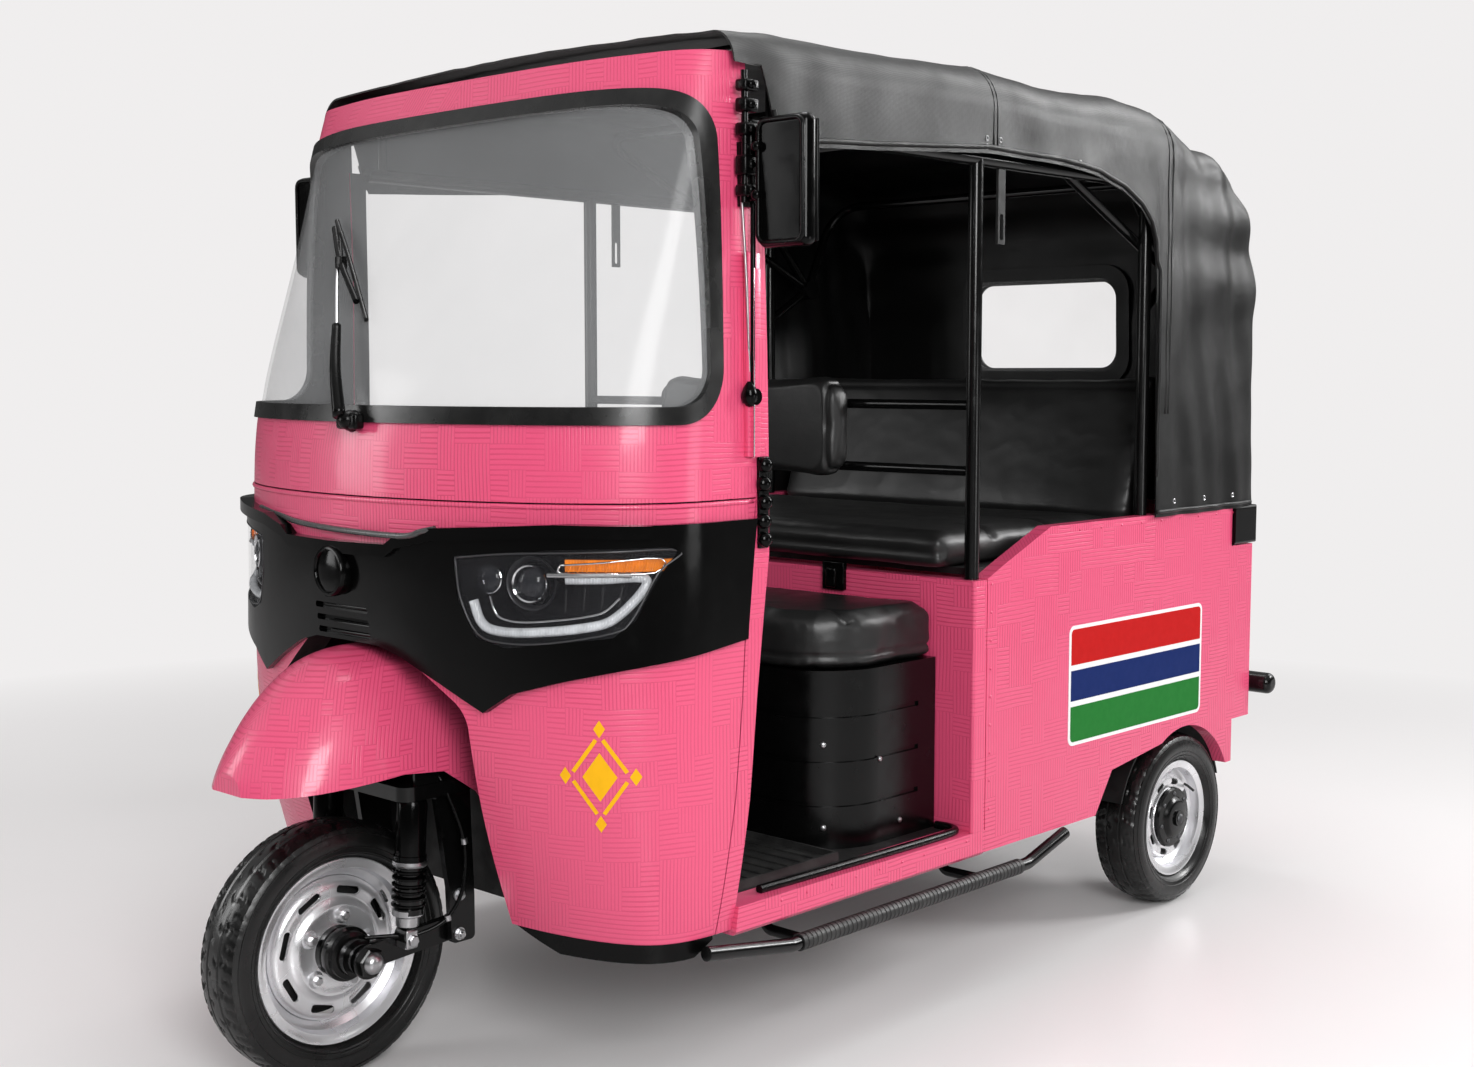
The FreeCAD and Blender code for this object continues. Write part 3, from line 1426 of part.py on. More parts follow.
def make_driver_backrest():
    y1 = post_y + post_radius - partition_radius - soft_gap
    block = box(-driver_back_half_width, driver_back_half_width, y1 - driver_back_thickness, y1,
                driver_back_bottom,
                driver_back_top)
    block = block.makeFillet(driver_back_corner, [e for e in block.Edges if abs(e.CenterOfMass.x)
                                                  > driver_back_half_width - small_gap
                                                  and e.Length < driver_back_thickness + small_gap])
    front = [e for e in block.Edges if e.BoundBox.YMax < y1 - driver_back_thickness + small_gap]
    return block.makeFillet(driver_back_thickness * back_round_share, front)


def make_bench_cushion():
    low = deck_top + soft_gap
    block = box(-bench_half_width, bench_half_width, bench_front, bench_back, low, low + bench_thickness)
    around = [e for e in block.Edges if e.CenterOfMass.z > low + small_gap]
    return block.makeFillet(bench_corner * bench_round_share, around)


def make_bench_backrest():
    """Padded back leaning rearwards."""
    low = deck_top + soft_gap
    y0 = bench_back + soft_gap
    outline = [(y0, low), (y0 + back_rake, back_top), (y0 + back_rake + back_thickness, back_top),
               (y0 + back_thickness, low)]
    block = prism_x(outline, -bench_half_width, bench_half_width, radius=back_thickness * back_round_share)
    return block


def rear_posts():
    """Tubes that stand on the side panels at the hood's quarters."""
    posts = []
    for side in (-1, 1):
        foot = V(side * post_x, rear_post_y, panel_top + small_gap)
        posts.append(rod(foot, V(foot.x, foot.y, side_rail_height), post_radius))
    return posts[0].fuse(posts[1])


def make_roof_frame():
    """Posts, side rails, cross rails behind the driver and three hoops that fan out from a pivot."""
    pieces = []
    for side in (-1, 1):
        x = side * post_x
        foot = V(x, post_y + post_radius, bulkhead_top + small_gap)
        pieces.append(rod(foot, V(x, foot.y, side_rail_height), post_radius))
        pieces.append(rod(V(x, side_rail_front, side_rail_height), V(x, rear_post_y, side_rail_height),
                          post_radius))
        pivot = V(side * hoop_x, hoop_pivot_y, hoop_pivot_height)
        boss_reach = V(side * hoop_radius * hoop_boss_reach_share, 0, 0)
        pieces.append(rod(pivot - boss_reach, pivot + boss_reach, hoop_radius * hoop_boss_share))
        pieces.append(rod(pivot, V(x, rear_post_y, hoop_pivot_height - hoop_tie_drop), hoop_radius))
    pieces.append(rear_posts())
    for y, z in hoop_tops:
        points = [V(-hoop_x, hoop_pivot_y, hoop_pivot_height), V(-hoop_x, y, z), V(hoop_x, y, z),
                  V(hoop_x, hoop_pivot_y, hoop_pivot_height)]
        pieces.append(tube(points, hoop_radius, hoop_corner))
    pieces.append(tube([V(-post_x, front_bow_y, side_rail_height), V(-post_x, front_bow_y, front_bow_height),
                        V(post_x, front_bow_y, front_bow_height), V(post_x, front_bow_y, side_rail_height)],
                       hoop_radius, front_bow_corner))
    for z in partition_heights:
        y = post_y + post_radius
        pieces.append(rod(V(-post_x, y, z), V(post_x, y, z), partition_radius))
    return fused(pieces)


# Hood

def canopy_section(row, shrink):
    place, top, half, shoulder = row
    half -= shrink
    top -= shrink
    low = canopy_hem
    points = [V(half, place, low), V(half, place, top - canopy_crown), V(-half, place, top - canopy_crown),
              V(-half, place, low)]
    edges = []
    arc_start = V(half, place, top - canopy_crown - shoulder)
    arc_end = V(half - shoulder, place, top)
    k = shoulder * (1 - math.sqrt(0.5))
    arc_mid = V(half - k, place, top - k - canopy_crown * canopy_shoulder_share)
    flip = lambda p: V(-p.x, p.y, p.z)
    edges.append(Part.LineSegment(points[0], arc_start).toShape())
    edges.append(Part.Arc(arc_start, arc_mid, arc_end).toShape())
    edges.append(Part.Arc(arc_end, V(0, place, top + canopy_crown), flip(arc_end)).toShape())
    edges.append(Part.Arc(flip(arc_end), flip(arc_mid), flip(arc_start)).toShape())
    edges.append(Part.LineSegment(flip(arc_start), points[3]).toShape())
    edges.append(Part.LineSegment(points[3], points[0]).toShape())
    return Part.Wire(edges)


def canopy_solid(shrink):
    rows = [list(row) for row in canopy_stations]
    if shrink:
        rows[0][0] += shrink
        rows[-1][0] -= shrink
    sections = [canopy_section(row, shrink) for row in rows]
    return Part.makeLoft(sections, True, True)


def rear_window_prism(inset):
    x = rear_window_half_width - inset
    outline = [(-x, rear_window_bottom + inset), (x, rear_window_bottom + inset),
               (x, rear_window_top - inset),
               (-x, rear_window_top - inset)]
    return prism_y(outline, rear_post_y, rear_reach, radius=rear_window_corner - inset)


def make_canopy():
    """Fabric hood: roof, rear quarters and back as one skin, with the sides and the rear window open."""
    skin = canopy_solid(0).cut(canopy_solid(canopy_sheet))
    foot = box(-half_width * 2, half_width * 2, 0, rear_reach, canopy_hem - overrun,
               canopy_hem + canopy_sheet / 4)
    sides = prism_x(canopy_side_edge, -half_width * 2, half_width * 2)
    cab = shell_solid(-small_gap).common(below(header_top + small_gap))
    return skin.cut(foot).cut(sides).cut(cab).cut(rear_window_prism(0)).removeSplitter()


def make_rear_window():
    """Clear flexible pane sewn into the back of the hood."""
    outer = canopy_solid(rear_window_sheet / 2)
    pane = outer.cut(canopy_solid(rear_window_sheet * 1.5))
    return pane.common(rear_window_prism(rear_window_gap)).removeSplitter()


def make_grab_straps():
    """Hanging loop beside each side opening."""
    x = post_x
    top = side_rail_height - post_radius - small_gap
    low = top - strap_length
    strap = box(x - strap_sheet / 2, x + strap_sheet / 2, strap_y - strap_width / 2,
                strap_y + strap_width / 2, low, top)
    hole = prism_x([(strap_y - strap_width / 4, low + strap_width / 3),
                    (strap_y + strap_width / 4, low + strap_width / 3),
                    (strap_y + strap_width / 4, low + strap_loop_height), (strap_y - strap_width / 4,
                                                                            low + strap_loop_height)],
                   x - overrun, x + overrun, radius=strap_width / 5)
    return both_sides(strap.cut(hole))


def make_mirrors():
    """Rear-view mirror on an arm, with a long thin stay down the pillar, on each side."""
    shell = rounded_block(mirror_x - mirror_half_width, mirror_x + mirror_half_width,
                          mirror_y - mirror_depth / 2,
                          mirror_y + mirror_depth / 2, mirror_bottom, mirror_top,
                          mirror_depth * mirror_round_share)
    wall_x = half_at(mirror_arm_height) - shell_wall / 2
    arm = rod(V(wall_x, mirror_y, mirror_arm_height), V(mirror_x, mirror_y, mirror_arm_height),
              mirror_arm_radius)
    lower = rod(V(wall_x, mirror_y, mirror_foot_height), V(mirror_x, mirror_y, mirror_foot_height),
                mirror_arm_radius)
    base = box(wall_x, wall_x + mirror_arm_radius * 2, mirror_y - mirror_depth / 2,
               mirror_y + mirror_depth / 2,
               mirror_foot_height - mirror_arm_radius * 2, mirror_arm_height + mirror_arm_radius * 2)
    stay = rod(V(stay_x, stay_y, stay_bottom), V(stay_x, stay_y, stay_top), stay_radius)
    foot = rod(V(half_at(stay_bottom) - shell_wall / 2, stay_y, stay_bottom),
               V(stay_x + stay_radius * 2, stay_y, stay_bottom), stay_foot_radius)
    return both_sides(fused([shell, arm, lower, base, stay, foot]).cut(shell_solid(-small_gap)))


def make_side_steps():
    """Bent tube under each side opening, held by two arms."""
    x = step_x
    points = [V(x, step_front, step_front_height), V(x, step_low_front, step_drop),
              V(x, step_low_back, step_drop),
              V(x, step_back, step_back_height)]
    pieces = [tube(points, step_radius, step_bend)]
    arm_top = floor_height - floor_sheet - cross_size - small_gap
    for place in outrigger_places:
        y = max(place, step_low_front + step_arm_inset)
        inner = half_width - sill_width * step_arm_sill_share
        way = [V(x, y, step_drop), V(inner, y, step_drop), V(inner, y, arm_top)]
        pieces.append(tube(way, step_radius * step_arm_share, step_radius * step_arm_bend_share))
    return both_sides(fused(pieces))


def arm_pivot():
    """Where a trailing arm swings, level with the middle of the chassis rail."""
    return V(arm_x, arm_pivot_y, floor_height - floor_sheet - rail_height / 2)


def damper_ends():
    """Foot on the trailing arm and head under the bridge."""
    pivot = arm_pivot()
    share = (damper_foot_y - pivot.y) / (wheelbase - pivot.y)
    arm_middle = pivot.z + (rear_tyre_radius - pivot.z) * share
    foot = V(arm_x, damper_foot_y, arm_middle + arm_height / 2 + arm_height / 5)
    head = V(arm_x, damper_foot_y - damper_lean, bridge_height - bridge_radius - small_gap)
    return foot, head


def make_rear_suspension():
    """Trailing arm beside each rear wheel, with its pivot tube, hub and stub axle."""
    pivot = arm_pivot()
    hub = V(arm_x, wheelbase, rear_tyre_radius)
    arm = prism_x([(pivot.y, pivot.z - arm_height / 2), (hub.y, hub.z - arm_height / 2),
                   (hub.y, hub.z + arm_height / 2), (pivot.y, pivot.z + arm_height / 2)],
                  arm_x - arm_width / 2, arm_x + arm_width / 2)
    barrel = rod(V(rail_x + rail_width / 2 + small_gap, pivot.y, pivot.z),
                 V(arm_x + arm_width / 2 + arm_tube_radius / 2, pivot.y, pivot.z), arm_tube_radius)
    hub_disc = rod(V(arm_x - arm_width / 2, hub.y, hub.z), V(arm_x + arm_width / 2, hub.y, hub.z),
                   arm_hub_radius)
    wheel_out = rear_half_track + wheel_face_share * rear_rim_width + disc_step_sheets * rim_sheet
    axle = rod(hub, V(wheel_out + stub_nut_length / 2, hub.y, hub.z), axle_radius)
    nut = rod(V(wheel_out + seam_gap / 3, hub.y, hub.z), V(wheel_out + seam_gap / 3 + stub_nut_length, hub.y,
                                                           hub.z),
              axle_nut_radius)
    foot = damper_ends()[0]
    seat = box(arm_x - arm_width / 2, arm_x + arm_width / 2, foot.y - arm_width / 2, foot.y + arm_width / 2,
               foot.z - arm_height / 2, foot.z - small_gap)
    return both_sides(fused([arm, barrel, hub_disc, axle, nut, seat]))


def make_rear_dampers():
    """Damper with its coil spring over it, from each arm up to the bridge."""
    foot, head = damper_ends()
    way = (head - foot).normalize()
    length = (head - foot).Length
    body = rod(foot - way * arm_width, foot + way * (length * damper_body_share), damper_body_radius)
    pieces = [body, rod(foot, head + way * bridge_radius, damper_body_radius * damper_rod_share)]
    low = foot + way * (length * damper_spring_start_share)
    pitch = (length * damper_spring_length_share - damper_wire) / damper_turns
    for k in range(damper_turns + 1):
        start = low + way * (pitch * k)
        pieces.append(rod(start, start + way * damper_wire, damper_spring_radius))
    core = rod(low, low + way * (pitch * damper_turns), damper_spring_radius - damper_wire)
    damper = fused(pieces + [core])
    lowest = box(0, half_width, 0, rear_reach, 0, foot.z)
    bridge = rod(V(0, head.y, bridge_height), V(half_width, head.y, bridge_height), bridge_radius + small_gap)
    return both_sides(damper.cut(lowest).cut(bridge))


def make_engine_block():
    """One plain block for the engine and its gearbox, on two mounts between the rails."""
    engine = rounded_block(-engine_half_width, engine_half_width, engine_front, engine_back, engine_bottom,
                           engine_top,
                           engine_corner)
    pieces = [engine]
    reach = rail_x - rail_width / 2 - small_gap
    top = floor_height - floor_sheet - rail_height / 5
    for y in (engine_mount_y, engine_back - (engine_mount_y - engine_front)):
        pieces.append(box(-reach, reach, y - engine_mount_width / 2, y + engine_mount_width / 2,
                          top - rail_height / 2, top))
    return fused(pieces)


def make_drive_shafts():
    """Shaft with a ribbed boot at each end, from the gearbox to each hub."""
    start = engine_half_width + small_gap
    end = arm_x - arm_width / 2 - small_gap
    pieces = [rod(V(start, wheelbase, rear_tyre_radius), V(end, wheelbase, rear_tyre_radius), shaft_radius)]
    for x in (start, end - boot_length):
        pieces.append(rod(V(x, wheelbase, rear_tyre_radius), V(x + boot_length, wheelbase, rear_tyre_radius),
                          boot_radius * boot_core_share))
        pitch = boot_length / boot_rib_count
        for k in range(boot_rib_count):
            rib = V(x + pitch * k, wheelbase, rear_tyre_radius)
            pieces.append(rod(rib, rib + V(pitch / 2, 0, 0), boot_radius))
    return both_sides(fused(pieces))


nodes = {}
nodes["chassis_frame"] = make_chassis_frame()
nodes["floor_pan"] = make_floor_pan()
nodes["floor_mat"] = make_floor_mat()
nodes["side_sills"] = make_side_sills()
nodes["front_apron"] = make_front_apron()
nodes["fascia"] = make_fascia()
nodes["headlamp_bowls"] = make_headlamp_bowl()
nodes["headlamp_lenses"] = make_headlamp_lens()
nodes["turn_signals"] = make_turn_signals()
nodes["cab_frame"] = make_cab_frame()
nodes["windscreen_seal"] = make_windscreen_seal()
nodes["windscreen_glass"] = make_windscreen_glass()
nodes["wiper"] = make_wiper()
nodes["door_frames"] = make_door_frames()
nodes["mirrors"] = make_mirrors()
nodes["dashboard"] = make_dashboard()
nodes["wheel_well"] = make_wheel_well()
nodes["bulkhead"] = make_bulkhead()
nodes["side_panel_left"] = make_side_panel()
nodes["side_panel_right"] = mirrored(make_side_panel())
nodes["rear_panel"] = make_rear_panel()
nodes["tail_lamps"] = make_tail_lamps()
nodes["rear_deck"] = make_rear_deck()
nodes["rear_bumper"] = make_rear_bumper()
nodes["plate_bracket"] = make_plate_bracket()
nodes["wheel_liners"] = make_wheel_liners()
nodes["driver_seat_box"] = make_driver_seat_box()
nodes["driver_cushion"] = make_driver_cushion()
nodes["driver_backrest"] = make_driver_backrest()
nodes["bench_cushion"] = make_bench_cushion()
nodes["bench_backrest"] = make_bench_backrest()
nodes["roof_frame"] = make_roof_frame()
nodes["canopy"] = make_canopy()
nodes["rear_window"] = make_rear_window()
nodes["grab_straps"] = make_grab_straps()
nodes["side_steps"] = make_side_steps()
nodes["rear_suspension"] = make_rear_suspension()
nodes["rear_shocks"] = make_rear_dampers()
nodes["engine_block"] = make_engine_block()
nodes["drive_shafts"] = make_drive_shafts()
nodes["steering_column"] = make_steering_column()
nodes["handlebar"] = make_handlebar()
nodes["front_fork"] = make_front_fork()
nodes["front_links"] = make_front_links()
nodes["front_shocks"] = make_front_shocks()
nodes["front_mudguard"] = make_front_mudguard()
nodes["front_tyre"], nodes["front_rim"] = make_front_wheel()
nodes["rear_tyre_left"], nodes["rear_rim_left"] = make_rear_wheel(1)
nodes["rear_tyre_right"], nodes["rear_rim_right"] = make_rear_wheel(-1)

for name, shape in nodes.items():
    shape = shape.copy()
    shape.translate(V(0, centre_shift, 0))
    shape.exportStep("parts/" + name + ".step")
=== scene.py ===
import math
from contextlib import contextmanager
from functools import cached_property
from itertools import pairwise

import bmesh
import bpy
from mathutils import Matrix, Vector, noise
from mathutils.bvhtree import BVHTree


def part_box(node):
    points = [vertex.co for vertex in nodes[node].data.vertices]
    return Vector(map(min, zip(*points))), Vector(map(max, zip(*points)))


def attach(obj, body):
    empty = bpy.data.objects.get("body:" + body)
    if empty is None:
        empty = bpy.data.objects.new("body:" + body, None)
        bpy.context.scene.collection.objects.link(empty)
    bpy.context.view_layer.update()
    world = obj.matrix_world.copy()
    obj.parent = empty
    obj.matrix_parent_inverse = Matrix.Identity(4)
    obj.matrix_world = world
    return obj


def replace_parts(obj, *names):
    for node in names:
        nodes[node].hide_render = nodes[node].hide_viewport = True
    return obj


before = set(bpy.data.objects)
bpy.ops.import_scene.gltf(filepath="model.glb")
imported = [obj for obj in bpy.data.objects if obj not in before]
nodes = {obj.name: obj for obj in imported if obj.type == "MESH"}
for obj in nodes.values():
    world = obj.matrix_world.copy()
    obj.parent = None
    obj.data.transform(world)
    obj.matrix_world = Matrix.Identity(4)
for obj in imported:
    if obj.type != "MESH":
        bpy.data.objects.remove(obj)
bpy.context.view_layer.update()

# Lengths are in metres. Places along the vehicle are given from the front axle, rearwards positive, and
# the frame's origin lies under the middle of the vehicle. A side is 1 for the left and -1 for the right.
front_low, front_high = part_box("front_tyre")
axle_y = (front_low.y + front_high.y) / 2
axle_z = (front_low.z + front_high.z) / 2
side_names = {1: "left", -1: "right"}


def at(x, y, z):
    """A point given from the front axle, in the frame."""
    return Vector((x, y + axle_y, z))


def sideways(side, points):
    """Points given from the front axle on one side, x counted outwards."""
    return [at(side * x, y, z) for x, y, z in points]


def outwards(side):
    return Vector((side, 0.0, 0.0))


def about_axle(centre, x, radius, angle):
    """A point on a circle about an axle, its angle measured from the top."""
    return centre + Vector((x, radius * math.sin(angle), radius * math.cos(angle)))


# Mesh helpers

def from_bmesh(name, bm, material, smooth=True):
    """A mesh object with outward faces."""
    bmesh.ops.recalc_face_normals(bm, faces=bm.faces)
    mesh = bpy.data.meshes.new(name)
    bm.to_mesh(mesh)
    bm.free()
    mesh.polygons.foreach_set("use_smooth", [smooth] * len(mesh.polygons))
    mesh.materials.append(material)
    obj = bpy.data.objects.new(name, mesh)
    bpy.context.scene.collection.objects.link(obj)
    return obj


def mesh_piece(name, verts, faces, material, smooth=True):
    """A mesh object from points and faces."""
    mesh = bpy.data.meshes.new("points")
    mesh.from_pydata([tuple(v) for v in verts], [], faces)
    bm = bmesh.new()
    bm.from_mesh(mesh)
    bpy.data.meshes.remove(mesh)
    bmesh.ops.remove_doubles(bm, verts=bm.verts, dist=1e-6)
    return from_bmesh(name, bm, material, smooth)


@contextmanager
def editing(obj):
    """A piece's mesh while it is edited."""
    bm = bmesh.new()
    bm.from_mesh(obj.data)
    bm.faces.ensure_lookup_table()
    yield bm
    bm.to_mesh(obj.data)
    bm.free()


def modified(obj, kind, **settings):
    """A piece with one modifier set and baked into its mesh."""
    modifier = obj.modifiers.new("shape", kind)
    for key, value in settings.items():
        setattr(modifier, key, value)
    bpy.context.view_layer.update()
    graph = bpy.context.evaluated_depsgraph_get()
    mesh = bpy.data.meshes.new_from_object(obj.evaluated_get(graph), depsgraph=graph)
    old = obj.data
    obj.modifiers.clear()
    obj.data = mesh
    bpy.data.meshes.remove(old)
    return obj


def sharpen(obj, degrees=35.0):
    """Smooth shading that stays crisp over edges sharper than the angle."""
    limit = math.radians(degrees)
    with editing(obj) as bm:
        for edge in bm.edges:
            edge.smooth = len(edge.link_faces) == 2 and edge.calc_face_angle(0.0) < limit
        for face in bm.faces:
            face.smooth = True
    return obj


def block(low, high, material, radius):
    """A block with rounded edges."""
    bm = bmesh.new()
    bmesh.ops.create_cube(bm, size=1.0)
    for v in bm.verts:
        v.co = v.co * (high - low) + (low + high) / 2
    obj = from_bmesh("block", bm, material)
    return sharpen(modified(obj, "BEVEL", width=radius, segments=3, limit_method="ANGLE",
                            angle_limit=math.radians(30.0), harden_normals=False))


def spline(a, b, c, d, t):
    """Catmull-Rom value between b and c."""
    bend, twist = 2 * a - 5 * b + 4 * c - d, 3 * b - a - 3 * c + d
    return 0.5 * (2 * b + (c - a) * t + bend * t ** 2 + twist * t ** 3)


def smooth_path(points, steps):
    """A smooth line through the points."""
    points = [Vector(p) for p in points]
    ends = [points[0] * 2 - points[1]] + points + [points[-1] * 2 - points[-2]]
    line = [spline(*ends[i:i + 4], k / steps) for i in range(len(points) - 1) for k in range(steps)]
    return line + [points[-1]]


def grid_faces(rows, columns, closed_rows, closed_columns=True):
    """Faces between the neighbours in a grid of points, which may close on itself both ways."""
    return [(i * columns + k, i * columns + (k + 1) % columns,
             (i + 1) % rows * columns + (k + 1) % columns, (i + 1) % rows * columns + k)
            for i in range(rows if closed_rows else rows - 1)
            for k in range(columns if closed_columns else columns - 1)]


def pipe(line, radii, sides, material, closed=False):
    """A round tube along a line, with one radius or one for each point."""
    count = len(line)
    verts, side = [], None
    for i, point in enumerate(line):
        before, after = (i - 1, (i + 1) % count) if closed else (max(i - 1, 0), min(i + 1, count - 1))
        way = (line[after] - line[before]).normalized()
        side = side or way.orthogonal().normalized()
        side = (side - way * side.dot(way)).normalized()
        up = way.cross(side)
        radius = radii[i] if isinstance(radii, list) else radii
        turns = [2 * math.pi * k / sides for k in range(sides)]
        verts += [point + (side * math.cos(turn) + up * math.sin(turn)) * radius for turn in turns]
    faces = grid_faces(count, sides, closed)
    if not closed:
        faces += [tuple(range(sides)), tuple(range((count - 1) * sides, count * sides))]
    return mesh_piece("pipe", verts, faces, material)


def tube(points, radius, material, steps=6, sides=12):
    """A round tube with cut ends, smooth through a few points."""
    return sharpen(pipe(smooth_path(points, steps), radius, sides, material), 50.0)


def straight_tube(start, end, radius, material, steps, sides, sag=(0.0, 0.0, 0.0)):
    """A tube through two ends and their middle, which may sag."""
    return tube([start, (start + end) / 2 + Vector(sag), end], radius, material, steps, sides)


def lathe(profile, centre, axis, material, segments=48, closed=False, degrees=35.0):
    """A turned form: each point of the profile is a place along the axis and a radius."""
    axis = Vector(axis).normalized()
    side = axis.orthogonal().normalized()
    up = axis.cross(side)
    turns = [2 * math.pi * k / segments for k in range(segments)]
    verts = [centre + axis * along + (side * math.cos(turn) + up * math.sin(turn)) * radius
             for along, radius in profile for turn in turns]
    faces = grid_faces(len(profile), segments, closed)
    return sharpen(mesh_piece("turned", verts, faces, material), degrees)


def dome(profile, spot, way, material, segments, degrees=60.0):
    return lathe(profile, spot, way, material, segments, degrees=degrees)


def settle(piece, body="root"):
    """Puts a piece on the body it rides on."""
    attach(piece, body)
    return piece


def joined(name, pieces, slot=None, body="root"):
    """One object from several, settled where a slot is given."""
    bpy.ops.object.select_all(action="DESELECT")
    for piece in pieces:
        piece.select_set(True)
    bpy.context.view_layer.objects.active = pieces[0]
    if len(pieces) > 1:
        bpy.ops.object.join()
    pieces[0].name = name
    pieces[0].data.name = name
    return settle(pieces[0], body) if slot else pieces[0]


def surface_tree(obj):
    points = [v.co.copy() for v in obj.data.vertices]
    return BVHTree.FromPolygons(points, [tuple(p.vertices) for p in obj.data.polygons])


trees = {}


def tree_of(name):
    if name not in trees:
        trees[name] = surface_tree(nodes[name])
    return trees[name]


def on_surface(name, point, way, lift=0.0):
    """The place and outward direction where a line through the point meets the node."""
    point, way = Vector(point), Vector(way).normalized()
    hit, normal, _, _ = tree_of(name).ray_cast(point - way * 0.5, way)
    if hit is None:
        hit, normal, _, _ = tree_of(name).find_nearest(point)
    if normal.dot(way) > 0:
        normal = -normal
    return hit + normal * lift, normal


# Materials

class Nodes:
    """Short calls for building the node tree of a material or a world."""

    def __init__(self, owner):
        owner.use_nodes = True
        self.owner = owner
        self.tree = owner.node_tree
        self.shader = self.tree.nodes.get("Principled BSDF")

    def add(self, kind, inputs, **settings):
        made = self.tree.nodes.new(kind)
        for key, value in settings.items():
            setattr(made, key, value)
        for key, value in inputs.items():
            self.put(made.inputs[key], value)
        return made

    def put(self, socket, value):
        if isinstance(value, bpy.types.NodeSocket):
            self.tree.links.new(value, socket)
        else:
            socket.default_value = value

    def math(self, operation, *values):
        return self.add("ShaderNodeMath", dict(enumerate(values)), operation=operation).outputs[0]

    def plus(self, a, b):
        return self.math("ADD", a, b)

    def times(self, a, b):
        return self.math("MULTIPLY", a, b)

    @cached_property
    def place(self):
        """The point on the object, in metres."""
        return self.add("ShaderNodeTexCoord", {}).outputs["Object"]

    @cached_property
    def xyz(self):
        return self.add("ShaderNodeSeparateXYZ", {0: self.place}).outputs

    def noise(self, scale, detail=3.0, roughness=0.5):
        inputs = {"Scale": scale, "Detail": detail, "Roughness": roughness, "Vector": self.place}
        return self.add("ShaderNodeTexNoise", inputs).outputs["Fac"]

    def ramp(self, fac, stops):
        made = self.add("ShaderNodeValToRGB", {"Fac": fac})
        elements = made.color_ramp.elements
        while len(elements) < len(stops):
            elements.new(0.5)
        for element, (position, tone) in zip(elements, stops):
            element.position = position
            element.color = (tone, tone, tone, 1.0)
        return made.outputs["Color"]

    def spread(self, fac, low, high, out_low=0.0, out_high=1.0):
        inputs = {"Value": fac, "From Min": low, "From Max": high, "To Min": out_low, "To Max": out_high}
        return self.add("ShaderNodeMapRange", inputs).outputs["Result"]

    def patches(self, scale, detail, out_low=0.0, out_high=1.0, low=0.3, high=0.7, roughness=0.5):
        """Noise whose stretch from low to high runs between two values."""
        return self.spread(self.noise(scale, detail, roughness), low, high, out_low, out_high)

    def mix(self, fac, a, b):
        a, b = (v if isinstance(v, bpy.types.NodeSocket) else (*v, 1.0) for v in (a, b))
        return self.add("ShaderNodeMix", {0: fac, 6: a, 7: b}, data_type="RGBA").outputs[2]

    def bump(self, height, strength, distance):
        made = self.add("ShaderNodeBump", {"Height": height, "Strength": strength, "Distance": distance})
        self.put(self.shader.inputs["Normal"], made.outputs["Normal"])

    def set(self, **values):
        for key, value in values.items():
            self.put(self.shader.inputs[key.replace("_", " ")], value)
        return self.owner


def material_nodes(name):
    return Nodes(bpy.data.materials.new(name))


def shaded(color, share):
    return tuple(c * share for c in color)


def weave_lines(n, cell, lines, wobble):
    """Groups of short parallel lines, turned at random from cell to cell, over the sides and the nose."""
    x, y, z = n.xyz
    round_nose = n.plus(n.math("ABSOLUTE", x), y)
    sway = n.times(n.math("SUBTRACT", n.noise(6.0, 1.0), 0.5), wobble)
    u = n.math("DIVIDE", n.plus(round_nose, sway), cell)
    v = n.math("DIVIDE", n.plus(z, sway), cell)
    cells = n.add("ShaderNodeCombineXYZ", {0: n.math("FLOOR", u), 1: n.math("FLOOR", v), 2: 0.5})
    chance = n.add("ShaderNodeTexWhiteNoise", {"Vector": cells.outputs[0]}, noise_dimensions="3D")
    turned = n.math("GREATER_THAN", chance.outputs["Value"], 0.5)
    inputs = {0: turned, 2: n.math("FRACT", u), 3: n.math("FRACT", v)}
    run = n.add("ShaderNodeMix", inputs, data_type="FLOAT").outputs[0]
    stripe = n.math("FRACT", n.times(run, lines))
    return n.spread(n.math("ABSOLUTE", n.math("SUBTRACT", stripe, 0.5)), 0.30, 0.40)


def body_paint(name, color, cell, lines_across):
    """Gloss enamel over a faint pressed line pattern, with slight unevenness and dull patches."""
    n = material_nodes(name)
    ink = n.times(weave_lines(n, cell, lines_across, 0.012), n.patches(3.2, 2.0, 0.45, 1.0, 0.35, 0.65))
    deep = (color[0] * 0.72, color[1] * 0.46, color[2] * 0.56)
    pale = tuple(min(1.0, c * 1.05 + 0.006) for c in color)
    cloudy = n.mix(n.patches(1.6, 3.0), color, pale)
    grain = n.mix(n.patches(340.0, 2.0, 0.0, 0.10), cloudy, deep)
    painted = n.mix(n.times(ink, 0.80), grain, deep)
    rough = n.plus(n.patches(40.0, 4.0, 0.30, 0.42), n.times(ink, 0.08))
    n.bump(n.math("SUBTRACT", n.times(n.noise(420.0, 2.0), 0.25), ink), 0.45, 0.0009)
    return n.set(Base_Color=painted, Roughness=rough, Coat_Weight=0.35, Coat_Roughness=0.12)


